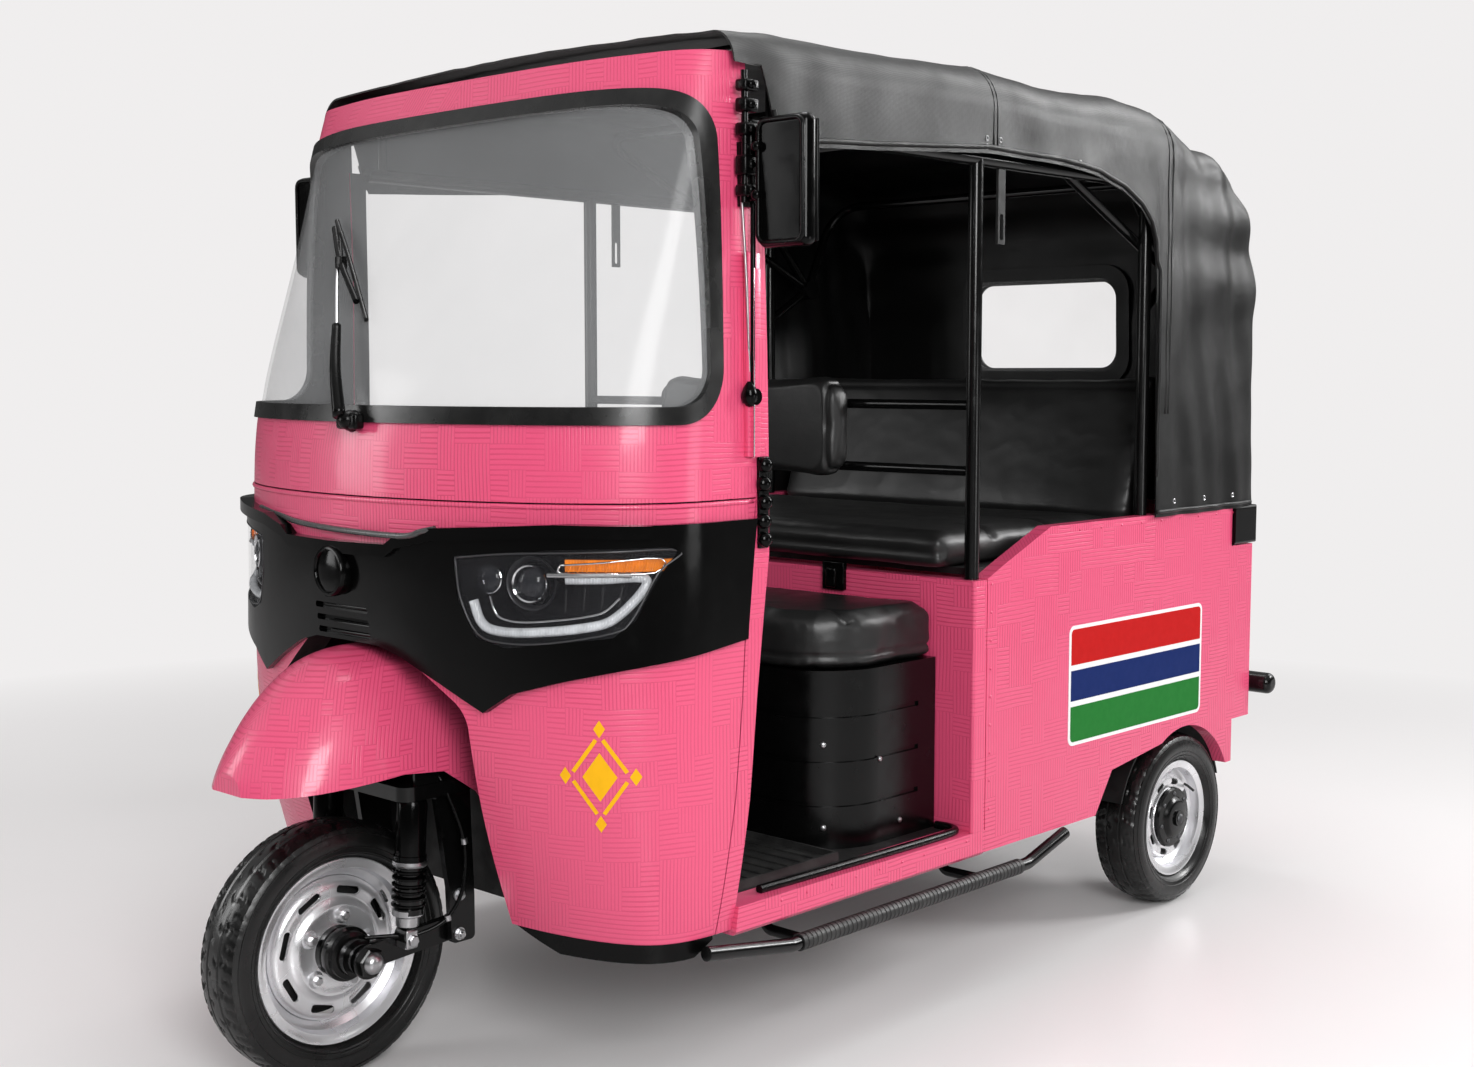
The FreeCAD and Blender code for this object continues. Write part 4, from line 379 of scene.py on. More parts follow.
def black_plastic(name, tone, low, high, grain, depth, coat=0.0, shine=0.5):
    """Moulded black plastic or coated sheet, with a grain in its surface."""
    n = material_nodes(name)
    dust = n.patches(5.0, 4.0, low=0.35, high=0.75)
    base = n.mix(dust, (tone, tone, tone * 1.03), (tone * 1.7,) * 3)
    n.bump(n.noise(grain), 0.35, depth)
    return n.set(Base_Color=base, Roughness=n.patches(30.0, 3.0, low, high), Coat_Weight=coat,
                 Coat_Roughness=0.08, Specular_IOR_Level=shine)


def vinyl(name, tone, scale=900.0):
    """Grained seat vinyl with soft creases and rubbed, paler patches at random."""
    n = material_nodes(name)
    cells = n.add("ShaderNodeTexVoronoi", {"Vector": n.place, "Scale": scale * 0.35}, feature="F1")
    grain = n.plus(n.times(cells.outputs["Distance"], 0.6), n.times(n.noise(scale, 2.0), 0.4))
    n.bump(n.plus(n.times(grain, 0.25), n.patches(9.0, 5.0, roughness=0.6)), 0.35, 0.0012)
    base = n.mix(n.patches(4.0, 4.0, low=0.35, high=0.75), (tone,) * 3, (tone * 2.2,) * 3)
    return n.set(Base_Color=base, Roughness=n.patches(14.0, 4.0, 0.34, 0.46), Specular_IOR_Level=0.52)


def hood_cloth(name, tone, weave=1300.0):
    """Coated cloth of the hood: a fine weave, soft sags, and a painted sheen that makes what faces up lighter
    in random patches.
    """
    n = material_nodes(name)
    x, y, z = n.xyz
    warp, weft = (n.math("SINE", n.times(n.plus(along, x), weave * 2.2)) for along in (y, z))
    threads = n.times(n.plus(warp, weft), 0.12)
    n.bump(n.plus(n.times(threads, 0.3), n.noise(7.0, 4.0, 0.55)), 0.5, 0.003)
    normal = n.add("ShaderNodeNewGeometry", {}).outputs["Normal"]
    # Painted sheen: faces that look up are made lighter, up to 2.6 times the cloth's tone, to paint the light
    # that falls on the top
    film = n.spread(n.add("ShaderNodeSeparateXYZ", {0: normal}).outputs[2], 0.05, 0.95)
    cloud = n.patches(2.6, 4.0, 0.35, 1.0, 0.35, 0.7)
    base = n.mix(n.times(film, cloud), (tone,) * 3, (tone * 2.6,) * 3)
    return n.set(Base_Color=base, Roughness=n.patches(11.0, 4.0, 0.31, 0.45), Specular_IOR_Level=0.33)


def metal(name, color, low, high, scale=60.0, metallic=1.0, depth=0.0002):
    """Bare or plated metal with fine unevenness and faint stains."""
    n = material_nodes(name)
    base = n.mix(n.patches(9.0, 1.0, low=0.4, high=0.75), color, shaded(color, 0.84))
    n.bump(n.noise(scale), 0.10, depth)
    return n.set(Base_Color=base, Metallic=metallic, Roughness=n.patches(12.0, 1.0, low, high))


def rubber(name, tone, low, high):
    """Rubber with dust in its pores."""
    n = material_nodes(name)
    dust = n.patches(24.0, 5.0, low=0.42, high=0.75)
    base = n.mix(dust, (tone,) * 3, (tone * 2.4, tone * 2.4, tone * 2.3))
    n.bump(n.noise(700.0), 0.3, 0.0005)
    return n.set(Base_Color=base, Roughness=n.patches(16.0, 3.0, low, high))


def clear(name, color, alpha, rough):
    """Clear sheet: mostly see-through, with a glossy face and a film of wipe marks."""
    n = material_nodes(name)
    film = n.patches(3.0, 4.0, low=0.3, high=0.75)
    n.bump(n.noise(2.2, 1.0), 0.04, 0.004)
    return n.set(Base_Color=n.mix(film, color, shaded(color, 0.93)),
                 Alpha=n.spread(film, 0.0, 1.0, alpha, min(1.0, alpha + 0.06)),
                 Roughness=n.spread(film, 0.0, 1.0, rough, rough + 0.05), Specular_IOR_Level=0.4)


def lamp_glass(name, color, glow=0.0):
    """Moulded lamp plastic with a fine prism ribbing and a little depth."""
    n = material_nodes(name)
    x, y, z = n.xyz
    n.bump(n.math("SINE", n.times(n.plus(x, y), 900.0)), 0.35, 0.0008)
    base = n.mix(n.patches(60.0, 3.0), color, shaded(color, 0.7))
    if glow:
        n.set(Emission_Color=base, Emission_Strength=glow)
    rough = n.patches(90.0, 3.0, 0.10, 0.18)
    return n.set(Base_Color=base, Roughness=rough, Coat_Weight=0.5, Coat_Roughness=0.05)


def stripe_paint(name, color):
    """One flat painted stripe with a faint brushed unevenness."""
    n = material_nodes(name)
    base = n.mix(n.patches(60.0, 4.0, 0.0, 0.5), color, shaded(color, 0.86))
    n.bump(n.noise(500.0, 2.0), 0.2, 0.0003)
    return n.set(Base_Color=base, Roughness=n.patches(30.0, 3.0, 0.45, 0.55), Specular_IOR_Level=0.06)


pink = (0.745, 0.080, 0.190)
paint = body_paint("pink_enamel", pink, 0.044, 5.0)
paint_maze = body_paint("pink_enamel_fine_relief", pink, 0.026, 3.0)
gloss_black = black_plastic("gloss_black_plastic", 0.001, 0.08, 0.18, 900.0, 0.0001, shine=0.14)
satin_black = black_plastic("satin_black_plastic", 0.0012, 0.20, 0.30, 700.0, 0.0004, shine=0.17)
box_black = black_plastic("seat_box_plastic", 0.001, 0.18, 0.28, 600.0, 0.0003, shine=0.30)
frame_black = black_plastic("black_frame_enamel", 0.002, 0.12, 0.24, 500.0, 0.0002, shine=0.34)
# Dark sheet for the wheel well, liners, floor, deck, straps and brake drum; on the inner faces of the painted
# frames it is painted shade
dark_sheet_and_inner_shade = black_plastic("dark_sheet_and_painted_inner_shade", 0.0025, 0.5, 0.7, 300.0, 0.001)
lamp_trim = black_plastic("lamp_bowl_trim", 0.010, 0.10, 0.2, 200.0, 0.0002, coat=0.6)
# Light grey of the nose ledge: a painted highlight along the fascia's top bevel
ledge_painted_highlight = black_plastic("painted_highlight_ledge", 0.045, 0.22, 0.34, 600.0, 0.0003)
seat_vinyl = vinyl("seat_vinyl", 0.008)
hood = hood_cloth("hood_cloth", 0.0036)
tyre_rubber = rubber("tyre_rubber", 0.003, 0.22, 0.34)
seal_rubber = rubber("seal_rubber", 0.006, 0.22, 0.34)
mat_rubber = rubber("mat_rubber", 0.014, 0.40, 0.55)
silver = metal("wheel_silver", (0.88, 0.88, 0.90), 0.24, 0.32, metallic=0.82)
steel = metal("zinc_steel", (0.50, 0.50, 0.51), 0.25, 0.42)
dark_steel = metal("dark_steel", (0.10, 0.10, 0.105), 0.30, 0.46, metallic=0.8)
chrome = metal("bright_plate", (0.85, 0.85, 0.87), 0.04, 0.12)
cast = metal("cast_alloy", (0.36, 0.36, 0.37), 0.45, 0.62, scale=260.0, depth=0.001)
mirror_face = metal("mirror_face", (0.86, 0.87, 0.88), 0.01, 0.03, scale=3.0, depth=0.0001)
screen_glass = clear("windscreen_glass", (0.55, 0.56, 0.57), 0.15, 0.14)
window_vinyl = clear("window_vinyl", (0.98, 0.98, 0.98), 0.02, 0.10)
lens_clear = clear("lamp_cover", (0.10, 0.10, 0.11), 0.06, 0.02)
lens_ball = clear("projector_ball", (0.02, 0.022, 0.026), 0.75, 0.01)
amber = lamp_glass("amber_lens", (1.0, 0.26, 0.01), glow=0.25)
red_lens = lamp_glass("red_lens", (0.55, 0.01, 0.01))
guide_white = lamp_glass("light_guide", (0.62, 0.64, 0.67), glow=0.12)
yellow = stripe_paint("yellow_paint", (0.90, 0.46, 0.012))
white = stripe_paint("white_paint", (0.84, 0.84, 0.84))
red = stripe_paint("red_paint", (0.50, 0.010, 0.010))
blue = stripe_paint("blue_paint", (0.008, 0.022, 0.120))
green = stripe_paint("green_paint", (0.018, 0.175, 0.030))


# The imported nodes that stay, each with its finish

finished_nodes = [
    (paint, "front_apron cab_frame door_frames side_sills bulkhead side_panel_left side_panel_right"),
    (paint, "rear_panel"),
    (paint_maze, "front_mudguard"),
    (gloss_black, "fascia headlamp_bowls mirrors"),
    (satin_black, "wiper dashboard"),
    (dark_sheet_and_inner_shade, "wheel_well wheel_liners floor_pan rear_deck grab_straps"),
    (frame_black, "chassis_frame rear_bumper plate_bracket roof_frame side_steps rear_suspension"),
    (frame_black, "rear_shocks steering_column handlebar front_fork front_links front_shocks"),
    (box_black, "driver_seat_box"),
    (seat_vinyl, "driver_cushion driver_backrest bench_cushion bench_backrest"),
    (hood, "canopy"),
    (lens_clear, "headlamp_lenses"),
    (screen_glass, "windscreen_glass"),
    (window_vinyl, "rear_window"),
    (amber, "turn_signals"),
    (red_lens, "tail_lamps"),
    (seal_rubber, "windscreen_seal"),
    (mat_rubber, "floor_mat"),
    (tyre_rubber, "front_tyre rear_tyre_left rear_tyre_right"),
    (silver, "front_rim rear_rim_left rear_rim_right"),
    (cast, "engine_block"),
    (dark_steel, "drive_shafts"),
]
for finish, names in finished_nodes:
    for name in names.split():
        nodes[name].data.materials.clear()
        nodes[name].data.materials.append(finish)


# Hood: one continuous sheet over bow and hoops, with gathered folds, hems and sewn seams

# Stations along the ridge: place, height, half width, shoulder radius
hood_stations = [
    (0.434, 1.846, 0.604, 0.050),
    (0.560, 1.856, 0.606, 0.064),
    (0.700, 1.862, 0.607, 0.074),
    (1.160, 1.874, 0.609, 0.080),
    (1.420, 1.868, 0.609, 0.084),
    (1.640, 1.872, 0.609, 0.088),
    (1.790, 1.872, 0.609, 0.092),
    (1.900, 1.848, 0.608, 0.092),
    (1.995, 1.800, 0.606, 0.088),
    (2.090, 1.782, 0.605, 0.088),
    (2.165, 1.750, 0.604, 0.088),
    (2.215, 1.690, 0.603, 0.086),
    (2.252, 1.620, 0.602, 0.086),
    (2.268, 1.540, 0.600, 0.088),
    (2.276, 1.400, 0.598, 0.090),
    (2.284, 1.200, 0.596, 0.088),
    (2.294, 1.050, 0.595, 0.070),
    (2.300, 0.975, 0.594, 0.022),
]
hood_hem = 0.936
hood_crown = 0.010
hood_thickness = 0.0035
hood_rear_start = 1.86
hood_rear_wall = 2.02
window_half, window_low, window_high = 0.232, 1.268, 1.508
# Lower edge of each side: place and height, an arch over the door opening and the passenger's side
hood_side_edge = [
    (0.434, 1.786), (0.500, 1.786), (0.526, 1.700), (0.542, 1.652), (0.800, 1.668), (1.155, 1.694),
    (1.421, 1.692), (1.560, 1.680), (1.660, 1.655), (1.730, 1.622), (1.775, 1.586), (1.798, 1.545),
    (1.806, 1.480), (1.806, 1.200), (1.804, 0.936),
]


def hood_station(t):
    """A station between the given ones, t counting them."""
    last = len(hood_stations) - 1
    i = min(int(t), last - 1)
    rows = [hood_stations[k] for k in (max(i - 1, 0), i, i + 1, min(i + 2, last))]
    return [spline(*values, t - i) for values in zip(*rows)]


def side_hem(place):
    """Height of the side's lower edge at a place along the vehicle."""
    if place < hood_side_edge[-3][0]:
        for (y0, z0), (y1, z1) in pairwise(hood_side_edge):
            if y0 <= place <= y1:
                return z0 + (z1 - z0) * (place - y0) / (y1 - y0)
    return hood_hem


def swell(value, middle, reach):
    """A soft bump of height 1 around a middle, gone beyond the reach."""
    gap = abs(value - middle) / reach
    return max(0.0, 1.0 - gap * gap) ** 2


def hood_shift(place, across, height, down):
    """How far the cloth stands out from its plain form: sags between hoops, gathers and wrinkles."""
    spot = Vector((across * 1.7, place, height))
    top = 1.0 - down
    out = 0.0022 * noise.noise(spot * 11.0)
    for hoop in (0.56, 1.17, 1.66):
        out += 0.004 * swell(place, hoop, 0.07) * top
    for middle, reach in ((0.86, 0.26), (1.42, 0.22), (1.76, 0.09)):
        out -= 0.009 * swell(place, middle, reach) * top * (1.0 - 0.5 * abs(across) / 0.6)
    if place < hood_rear_start:
        out += math.sin(place * 38.0 + 3.0 * noise.noise(spot * 3.0)) * 0.0016 * down
        return out + 0.0035 * noise.noise(Vector((place * 4.0, height * 9.0, 2.0))) * down
    behind = place - hood_rear_start
    fold = math.sin(place * 60.0 + height * 9.0 + 2.5 * noise.noise(spot * 2.2))
    out += 0.0028 * fold * down * min(1.0, behind / 0.08)
    out += 0.008 * noise.noise(Vector((place * 9.0, height * 3.4, across * 3.0)))
    gathered = (0.3 + 0.7 * min(1.0, abs(across) / 0.5)) * min(1.0, behind / 0.25)
    for middle, reach, depth in ((1.745, 0.060, 0.012), (1.625, 0.075, 0.015), (1.470, 0.085, 0.010)):
        out += depth * swell(height, middle, reach) * gathered
    return out


def hood_section(place, top, half, shoulder):
    """Points across the hood at one place, from hem to hem: x, height and how far the cloth hangs down."""
    side_steps, arc_steps, top_steps = 26, 9, 18
    hem = hood_hem if place > hood_rear_wall else side_hem(place)
    arc_low = top - hood_crown - shoulder
    hem = min(hem, arc_low - 0.004) if arc_low > hem + 0.004 else arc_low
    rise = shoulder + hood_crown * 0.4
    edge_x, edge_z = half - shoulder, arc_low + rise
    line = [(half, hem + (arc_low - hem) * k / side_steps, 1.0) for k in range(side_steps)]
    for turn in (math.pi / 2 * k / arc_steps for k in range(arc_steps)):
        line.append((edge_x + shoulder * math.cos(turn), arc_low + rise * math.sin(turn), math.cos(turn)))
    for s in (k / top_steps for k in range(top_steps + 1)):
        line.append((edge_x * (1.0 - s), edge_z + (top + hood_crown - edge_z) * (1.0 - (1.0 - s) ** 2), 0.0))
    return line + [(-x, z, down) for x, z, down in reversed(line[:-1])]


def make_hood():
    rows = 150
    verts = []
    for j in range(rows + 1):
        place, *shape = hood_station((len(hood_stations) - 1) * j / rows)
        section = hood_section(place, *shape)
        verts += [(x, place, z, down) for x, z, down in section]
    width = len(section)
    verts += [(x, place, min(z, hood_hem), down) for x, place, z, down in verts[-width:]]
    faces = []
    for j in range(rows + 1):
        for k in range(width - 1):
            a = j * width + k
            faces.append((a, a + width, a + width + 1, a + 1))
    points = [Vector(v[:3]) for v in verts]
    normals = [Vector() for _ in points]
    for face in faces:
        a, b, c, d = (points[i] for i in face)
        normal = (b - a).cross(d - a) + (d - c).cross(b - c)
        for i in face:
            normals[i] += normal
    middle_of_hood = Vector((0.0, 1.2, 1.35))
    moved = []
    for (x, place, z, down), point, normal in zip(verts, points, normals):
        normal = normal.normalized()
        if normal.dot(point - middle_of_hood) < 0:
            normal = -normal
        moved.append(point + normal * hood_shift(place, x, z, down))
    kept = []
    for face in faces:
        a, b, c, d = (moved[i] for i in face)
        middle = (a + b + c + d) / 4
        in_window = middle.y > 2.1 and abs(middle.x) < window_half and window_low < middle.z < window_high
        if (c - a).cross(d - b).length >= 1e-6 and not in_window:
            kept.append(face)
    sheet = mesh_piece("hood_sheet", [at(*p) for p in moved], kept, hood)
    with editing(sheet) as bm:
        if max(bm.faces, key=lambda face: face.calc_center_median().z).normal.z < 0:
            bmesh.ops.reverse_faces(bm, faces=bm.faces)
        area = sum(face.calc_area() for face in bm.faces)
    sharpen(modified(sheet, "SOLIDIFY", thickness=hood_thickness, offset=-1.0), 60.0)
    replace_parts(sheet, "canopy")
    settle(sheet)
    return sheet


hood_piece = make_hood()


# Tyres with tread, sidewall rings and bead

tread_share = 0.62


def tread_depth(share, turn, pitches):
    """Depth cut into the tread: two round grooves, shoulder blocks and small slits in the middle rib."""
    across = abs(share)
    pitch = (turn * pitches) % 1.0
    depth = 0.0
    if abs(across - 0.36) < 0.045:
        depth = 0.0055
    if across > 0.47:
        slant = (pitch + 0.35 * (across - 0.47)) % 1.0
        if slant < 0.20:
            depth = 0.0045
        elif 0.55 < slant < 0.64 and across > 0.62:
            depth = 0.0028
    elif 0.08 < across < 0.30:
        slant = (pitch + 0.5 * share + (0.5 if share < 0 else 0.0)) % 1.0
        if slant < 0.13:
            depth = 0.0035
    return depth * tread_share


def make_tyre(node, body, pitches):
    """A tyre in place of the plain solid, on the same axle and to the same outline."""
    low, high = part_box(node)
    centre = (low + high) / 2
    radius, half = (high.z - low.z) / 2, (high.x - low.x) / 2
    rim_low, rim_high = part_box(node.replace("tyre", "rim"))
    flange = (rim_high.z - rim_low.z) / 2
    bead_half = (rim_high.x - rim_low.x) / 2 - 0.0055
    height = radius - flange
    wall = [(0.90, 0.13), (0.965, 0.28), (0.995, 0.42), (1.0, 0.50), (0.985, 0.60), (0.955, 0.70),
            (0.91, 0.79), (0.86, 0.865)]
    side = [(bead_half, flange - 0.006), (bead_half + 0.001, flange + 0.0015)]
    side += [(half * x, flange + height * r) for x, r in wall]
    profile = [(x, r, None) for x, r in side]
    steps = 44
    for share in (1.0 - 2.0 * k / steps for k in range(steps + 1)):
        drop = height * (0.10 * share ** 2 + 0.045 * share ** 6)
        profile.append((half * 0.82 * share, radius - drop, share))
    profile += [(-x, r, None) for x, r in reversed(side)]
    around = pitches * 12
    verts = []
    for turn in (k / around for k in range(around)):
        for x, r, share in profile:
            cut = 0.0
            if share is not None:
                cut = tread_depth(share, turn, pitches)
            elif r > flange + height * 0.62 and (turn * pitches * 2 + (0.5 if x < 0 else 0.0)) % 1.0 < 0.16:
                cut = 0.0012
            verts.append(about_axle(centre, x, r - cut, 2 * math.pi * turn))
    pieces = [mesh_piece("tread", verts, grid_faces(around, len(profile), True, False), tyre_rubber)]
    for x_side in (-1, 1):
        for share, x, thick in ((0.20, 0.925, 0.0016), (0.34, 0.975, 0.0011), (0.72, 0.95, 0.0012)):
            line = [about_axle(centre, x_side * half * x, flange + height * share, 2 * math.pi * i / 96)
                    for i in range(96)]
            pieces.append(pipe(line, thick, 6, tyre_rubber, closed=True))
    tyre = sharpen(joined(node + "_dressed", pieces, "tyre_rubber", body), 38.0)
    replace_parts(tyre, node)


# Rims: rolled steel rim, pressed disc with slots, lug bolts and hub

def slot_cutter(centre, radius, turn, length, width, side):
    """A long rounded bar that cuts one slot through the disc."""
    count, depth = 28, 0.09
    ring = []
    for a in (2 * math.pi * k / count for k in range(count)):
        along = math.copysign((length - width) / 2, math.cos(a)) + width / 2 * math.cos(a)
        ring.append((radius + width / 2 * math.sin(a), turn + along / radius))
    bm = bmesh.new()
    verts = [bm.verts.new(about_axle(centre, side * x, r, a)) for x in (-depth, depth) for r, a in ring]
    bm.faces.new(verts[:count])
    bm.faces.new(verts[:count - 1:-1])
    for k in range(count):
        j = (k + 1) % count
        bm.faces.new((verts[k], verts[j], verts[count + j], verts[count + k]))
    return from_bmesh("cutter", bm, silver)


def make_rim(node, body, side, slots, slot_length, bolts, plate_radius):
    """A wheel in place of the plain solid: with bolts in front, under a hub plate at the rear."""
    low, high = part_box(node)
    tyre_low, tyre_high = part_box(node.replace("rim", "tyre"))
    centre = (low + high) / 2
    centre.x = (tyre_low.x + tyre_high.x) / 2
    flange = (high.z - low.z) / 2
    half = min(high.x - centre.x, centre.x - low.x)
    axis = outwards(side)
    bead = flange - 0.012
    well = bead - 0.020
    barrel = [
        (-half, flange - 0.001), (-half + 0.0035, flange), (-half + 0.006, flange - 0.004),
        (-half + 0.007, bead), (-half * 0.55, bead - 0.001), (-half * 0.30, well), (half * 0.20, well),
        (half * 0.42, bead - 0.002), (half - 0.012, bead - 0.001), (half - 0.006, bead + 0.001),
        (half - 0.006, flange - 0.004), (half - 0.0035, flange), (half, flange - 0.001),
        (half + 0.0002, flange - 0.004),
        (half - 0.002, flange - 0.008), (half - 0.004, bead - 0.006), (half - 0.014, bead - 0.008),
        (half * 0.46, bead - 0.010), (half * 0.22, well - 0.004), (-half * 0.32, well - 0.004),
        (-half * 0.55, bead - 0.006), (-half, bead - 0.006),
    ]
    face = half * 0.68
    hub_ring = [(0.012, 0.024), (0.0125, 0.030), (0.006, 0.038), (0.003, 0.046)]
    dish = [(0.003, 0.52), (0.0055, 0.56), (0.0055, 0.60), (-0.004, 0.67), (-0.005, 0.72), (-0.001, 0.80),
            (-0.003, 0.89), (-0.012, 0.955)]
    front = [(face + x, r) for x, r in hub_ring] + [(face + x, well * share) for x, share in dish]
    front.append((face - 0.026, well - 0.0045))
    back = [(x - 0.0032, max(r - 0.0012, 0.022)) for x, r in reversed(front)]
    disc = lathe(front + back, centre, axis, silver, 128, closed=True, degrees=40.0)
    bolt_circle = well * 0.47
    cuts = [(well * 0.80, 2 * math.pi * (k + 0.35) / slots, slot_length, 0.0145) for k in range(slots)]
    for cut in cuts + [(bolt_circle, 2.35 * side, 0.0135, 0.013)]:
        cutter = slot_cutter(centre, *cut, side)
        modified(disc, "BOOLEAN", operation="DIFFERENCE", object=cutter, solver="EXACT")
        bpy.data.objects.remove(cutter)
    pieces = [lathe(barrel, centre, axis, silver, 96, closed=True, degrees=40.0), sharpen(disc, 40.0)]
    for angle in (2 * math.pi * (k + 0.15) / bolts for k in range(bolts)):
        spot = about_axle(centre, side * (face + 0.003), bolt_circle, angle)
        cone = [(0.0, 0.0165), (0.003, 0.0155), (0.008, 0.0125), (0.0095, 0.0115), (0.0095, 0.0)]
        head = [(0.0095, 0.0), (0.0095, 0.0078), (0.0145, 0.0078), (0.0165, 0.0060), (0.0165, 0.0)]
        pieces.append(dome(cone, spot, axis, silver, 28, 50.0))
        pieces.append(dome(head, spot, axis, steel, 6, 25.0))
    valve = about_axle(centre, side * half * 0.5, bead - 0.022, 0.9)
    bends = ((0.0, 0.0), (0.014, -0.004), (0.030, -0.010))
    stem = [valve + Vector((side * out, drop, drop)) for out, drop in bends]
    pieces.append(tube(stem, 0.0032, seal_rubber, 3, 10))
    drum_back = -half * 0.72
    drum = [(drum_back, 0.02), (drum_back, well - 0.010), (drum_back + 0.012, well - 0.010),
            (drum_back + 0.014, well - 0.024), (half * 0.10, well - 0.026), (half * 0.16, well - 0.034),
            (half * 0.16, 0.012), (drum_back, 0.012)]
    pieces.append(lathe(drum, centre, axis, dark_sheet_and_inner_shade, 64, closed=True))
    bore = 0.011
    if bolts:
        hub = [(half * 0.2, bore), (half * 0.2, plate_radius), (face + 0.016, plate_radius),
               (face + 0.020, plate_radius * 0.93), (face + 0.020, bore)]
        pieces.append(lathe(hub, centre, axis, frame_black, 48, closed=True))
    else:
        steps = [(0.010, 0.93), (0.012, 0.70), (0.020, 0.60), (0.022, 0.52)]
        plate = [(face, bore), (face, plate_radius), (face + 0.006, plate_radius - 0.001)]
        plate += [(face + x, plate_radius * share) for x, share in steps] + [(face + 0.022, bore)]
        pieces.append(lathe(plate, centre, axis, frame_black, 64, closed=True))
        rivet = [(0.0, 0.0055), (0.003, 0.0050), (0.0045, 0.0030), (0.0048, 0.0)]
        for k in range(7):
            spot = about_axle(centre, side * (face + 0.010), plate_radius * 0.80, 2 * math.pi * k / 7)
            pieces.append(dome(rivet, spot, axis, dark_steel, 16))
    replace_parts(joined(node + "_dressed", pieces, "wheel_silver", body), node)


def hex_nut(spot, way, radius, height, material):
    """A hexagonal nut with a worn chamfer."""
    profile = [(0.0, 0.0), (0.0, radius), (height * 0.82, radius), (height, radius * 0.86), (height, 0.0)]
    return dome(profile, spot, way, material, 6, 25.0)


def make_axle_ends(side):
    """Nut and domed cap on the ends of the front axle and of a rear wheel's stub."""
    name, way = side_names[side], outwards(side)
    low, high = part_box("front_links")
    spot = Vector(((high.x if side > 0 else low.x) - side * 0.004, axle_y, axle_z))
    washer = [(0.0, 0.0), (0.0, 0.031), (0.004, 0.0305), (0.004, 0.0)]
    cap = [(0.012, 0.0200), (0.016, 0.0195), (0.023, 0.0165), (0.0275, 0.0105), (0.0290, 0.0)]
    joined("axle_end_" + name, [
        lathe(washer, spot, way, frame_black, 32),
        hex_nut(spot + way * 0.002, way, 0.0270, 0.013, frame_black),
        dome(cap, spot, way, steel, 28),
    ], "shaft_steel", "steering")
    low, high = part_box("rear_tyre_" + name)
    rim_low, rim_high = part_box("rear_rim_" + name)
    spot = (low + high) / 2
    spot.x = side * (rim_high.x - rim_low.x) * 0.34 + (rim_high.x + rim_low.x) / 2 + side * 0.013
    cap = [(0.010, 0.013), (0.017, 0.011), (0.020, 0.006), (0.0208, 0.0)]
    nut = hex_nut(spot, way, 0.019, 0.011, dark_steel)
    joined("stub_end_" + name, [nut, dome(cap, spot, way, dark_steel, 28)], "shaft_steel")


make_tyre("front_tyre", "front_wheel", 26)
make_rim("front_rim", "front_wheel", 1, 8, 0.050, 5, 0.046)
for side, name in side_names.items():
    make_tyre("rear_tyre_" + name, "rear_wheel_" + name, 22)
    make_rim("rear_rim_" + name, "rear_wheel_" + name, side, 8, 0.030, 0, 0.072)
    make_axle_ends(side)


# Painted ornament on the front corner and stripes on the side panel

def laid_patch(outline, centre, right, up, way):
    """A thin yellow patch with the given outline, pressed onto the front apron."""
    longest_edge, lift, thickness = 0.006, 0.0004, 0.0006
    bm = bmesh.new()
    bm.faces.new([bm.verts.new(centre + right * x + up * y) for x, y in outline])
    bmesh.ops.triangulate(bm, faces=bm.faces[:])
    while long_edges := [e for e in bm.edges if e.calc_length() > longest_edge]:
        bmesh.ops.subdivide_edges(bm, edges=long_edges, cuts=1)
        bmesh.ops.triangulate(bm, faces=bm.faces[:])
    for v in bm.verts:
        v.co, _ = on_surface("front_apron", v.co, way, lift)
    patch = from_bmesh("patch", bm, yellow)
    with editing(patch) as bm:
        if sum(face.normal.dot(way) for face in bm.faces) > 0:
            bmesh.ops.reverse_faces(bm, faces=bm.faces)
    return sharpen(modified(patch, "SOLIDIFY", thickness=thickness, offset=1.0), 50.0)


def make_ornament(side):
    """Plain nested lozenge with four small lozenges at its corners, in yellow."""
    spot, normal = on_surface("front_apron", at(side * 0.518, 0.197, 0.590), (-side * 0.55, 0.83, 0.05))
    right = Vector((0.0, 0.0, 1.0)).cross(normal).normalized()
    up = normal.cross(right).normalized()
    lozenges = [(0.0, 0.0, 0.030, 0.042)]
    lozenges += [(x, y, 0.010, 0.015) for x, y in ((0.0, 0.082), (0.0, -0.082), (0.060, 0.0), (-0.060, 0.0))]
    outlines = [[(x + wide, y), (x, y + tall), (x - wide, y), (x, y - tall)] for x, y, wide, tall in lozenges]
    for sx in (-1, 1):
        for sy in (-1, 1):
            a, b = Vector((sx * 0.046, sy * 0.008)), Vector((sx * 0.006, sy * 0.064))
            along = (b - a).normalized()
            across = Vector((-along.y, along.x)) * 0.0035
            outlines.append([a + across, b + across, b - across, a - across])
    pieces = [laid_patch(outline, spot, right, up, -normal) for outline in outlines]
    joined("painted_ornament_" + side_names[side], pieces, "body_paint")


def rounded_rectangle(x0, x1, y0, y1, radius, steps=6, corners=(1, 1, 1, 1)):
    """Outline with rounded corners, or sharp ones where corners says 0, from the upper right one on."""
    middles = ((x1 - radius, y1 - radius), (x0 + radius, y1 - radius), (x0 + radius, y0 + radius),
               (x1 - radius, y0 + radius))
    sharp = ((x1, y1), (x0, y1), (x0, y0), (x1, y0))
    points = []
    for k, (cx, cy) in enumerate(middles):
        turns = [math.radians(90.0 * (k + i / steps)) for i in range(steps + 1)]
        arc = [(cx + radius * math.cos(a), cy + radius * math.sin(a)) for a in turns]
        points += arc if corners[k] else [sharp[k]]
    return points


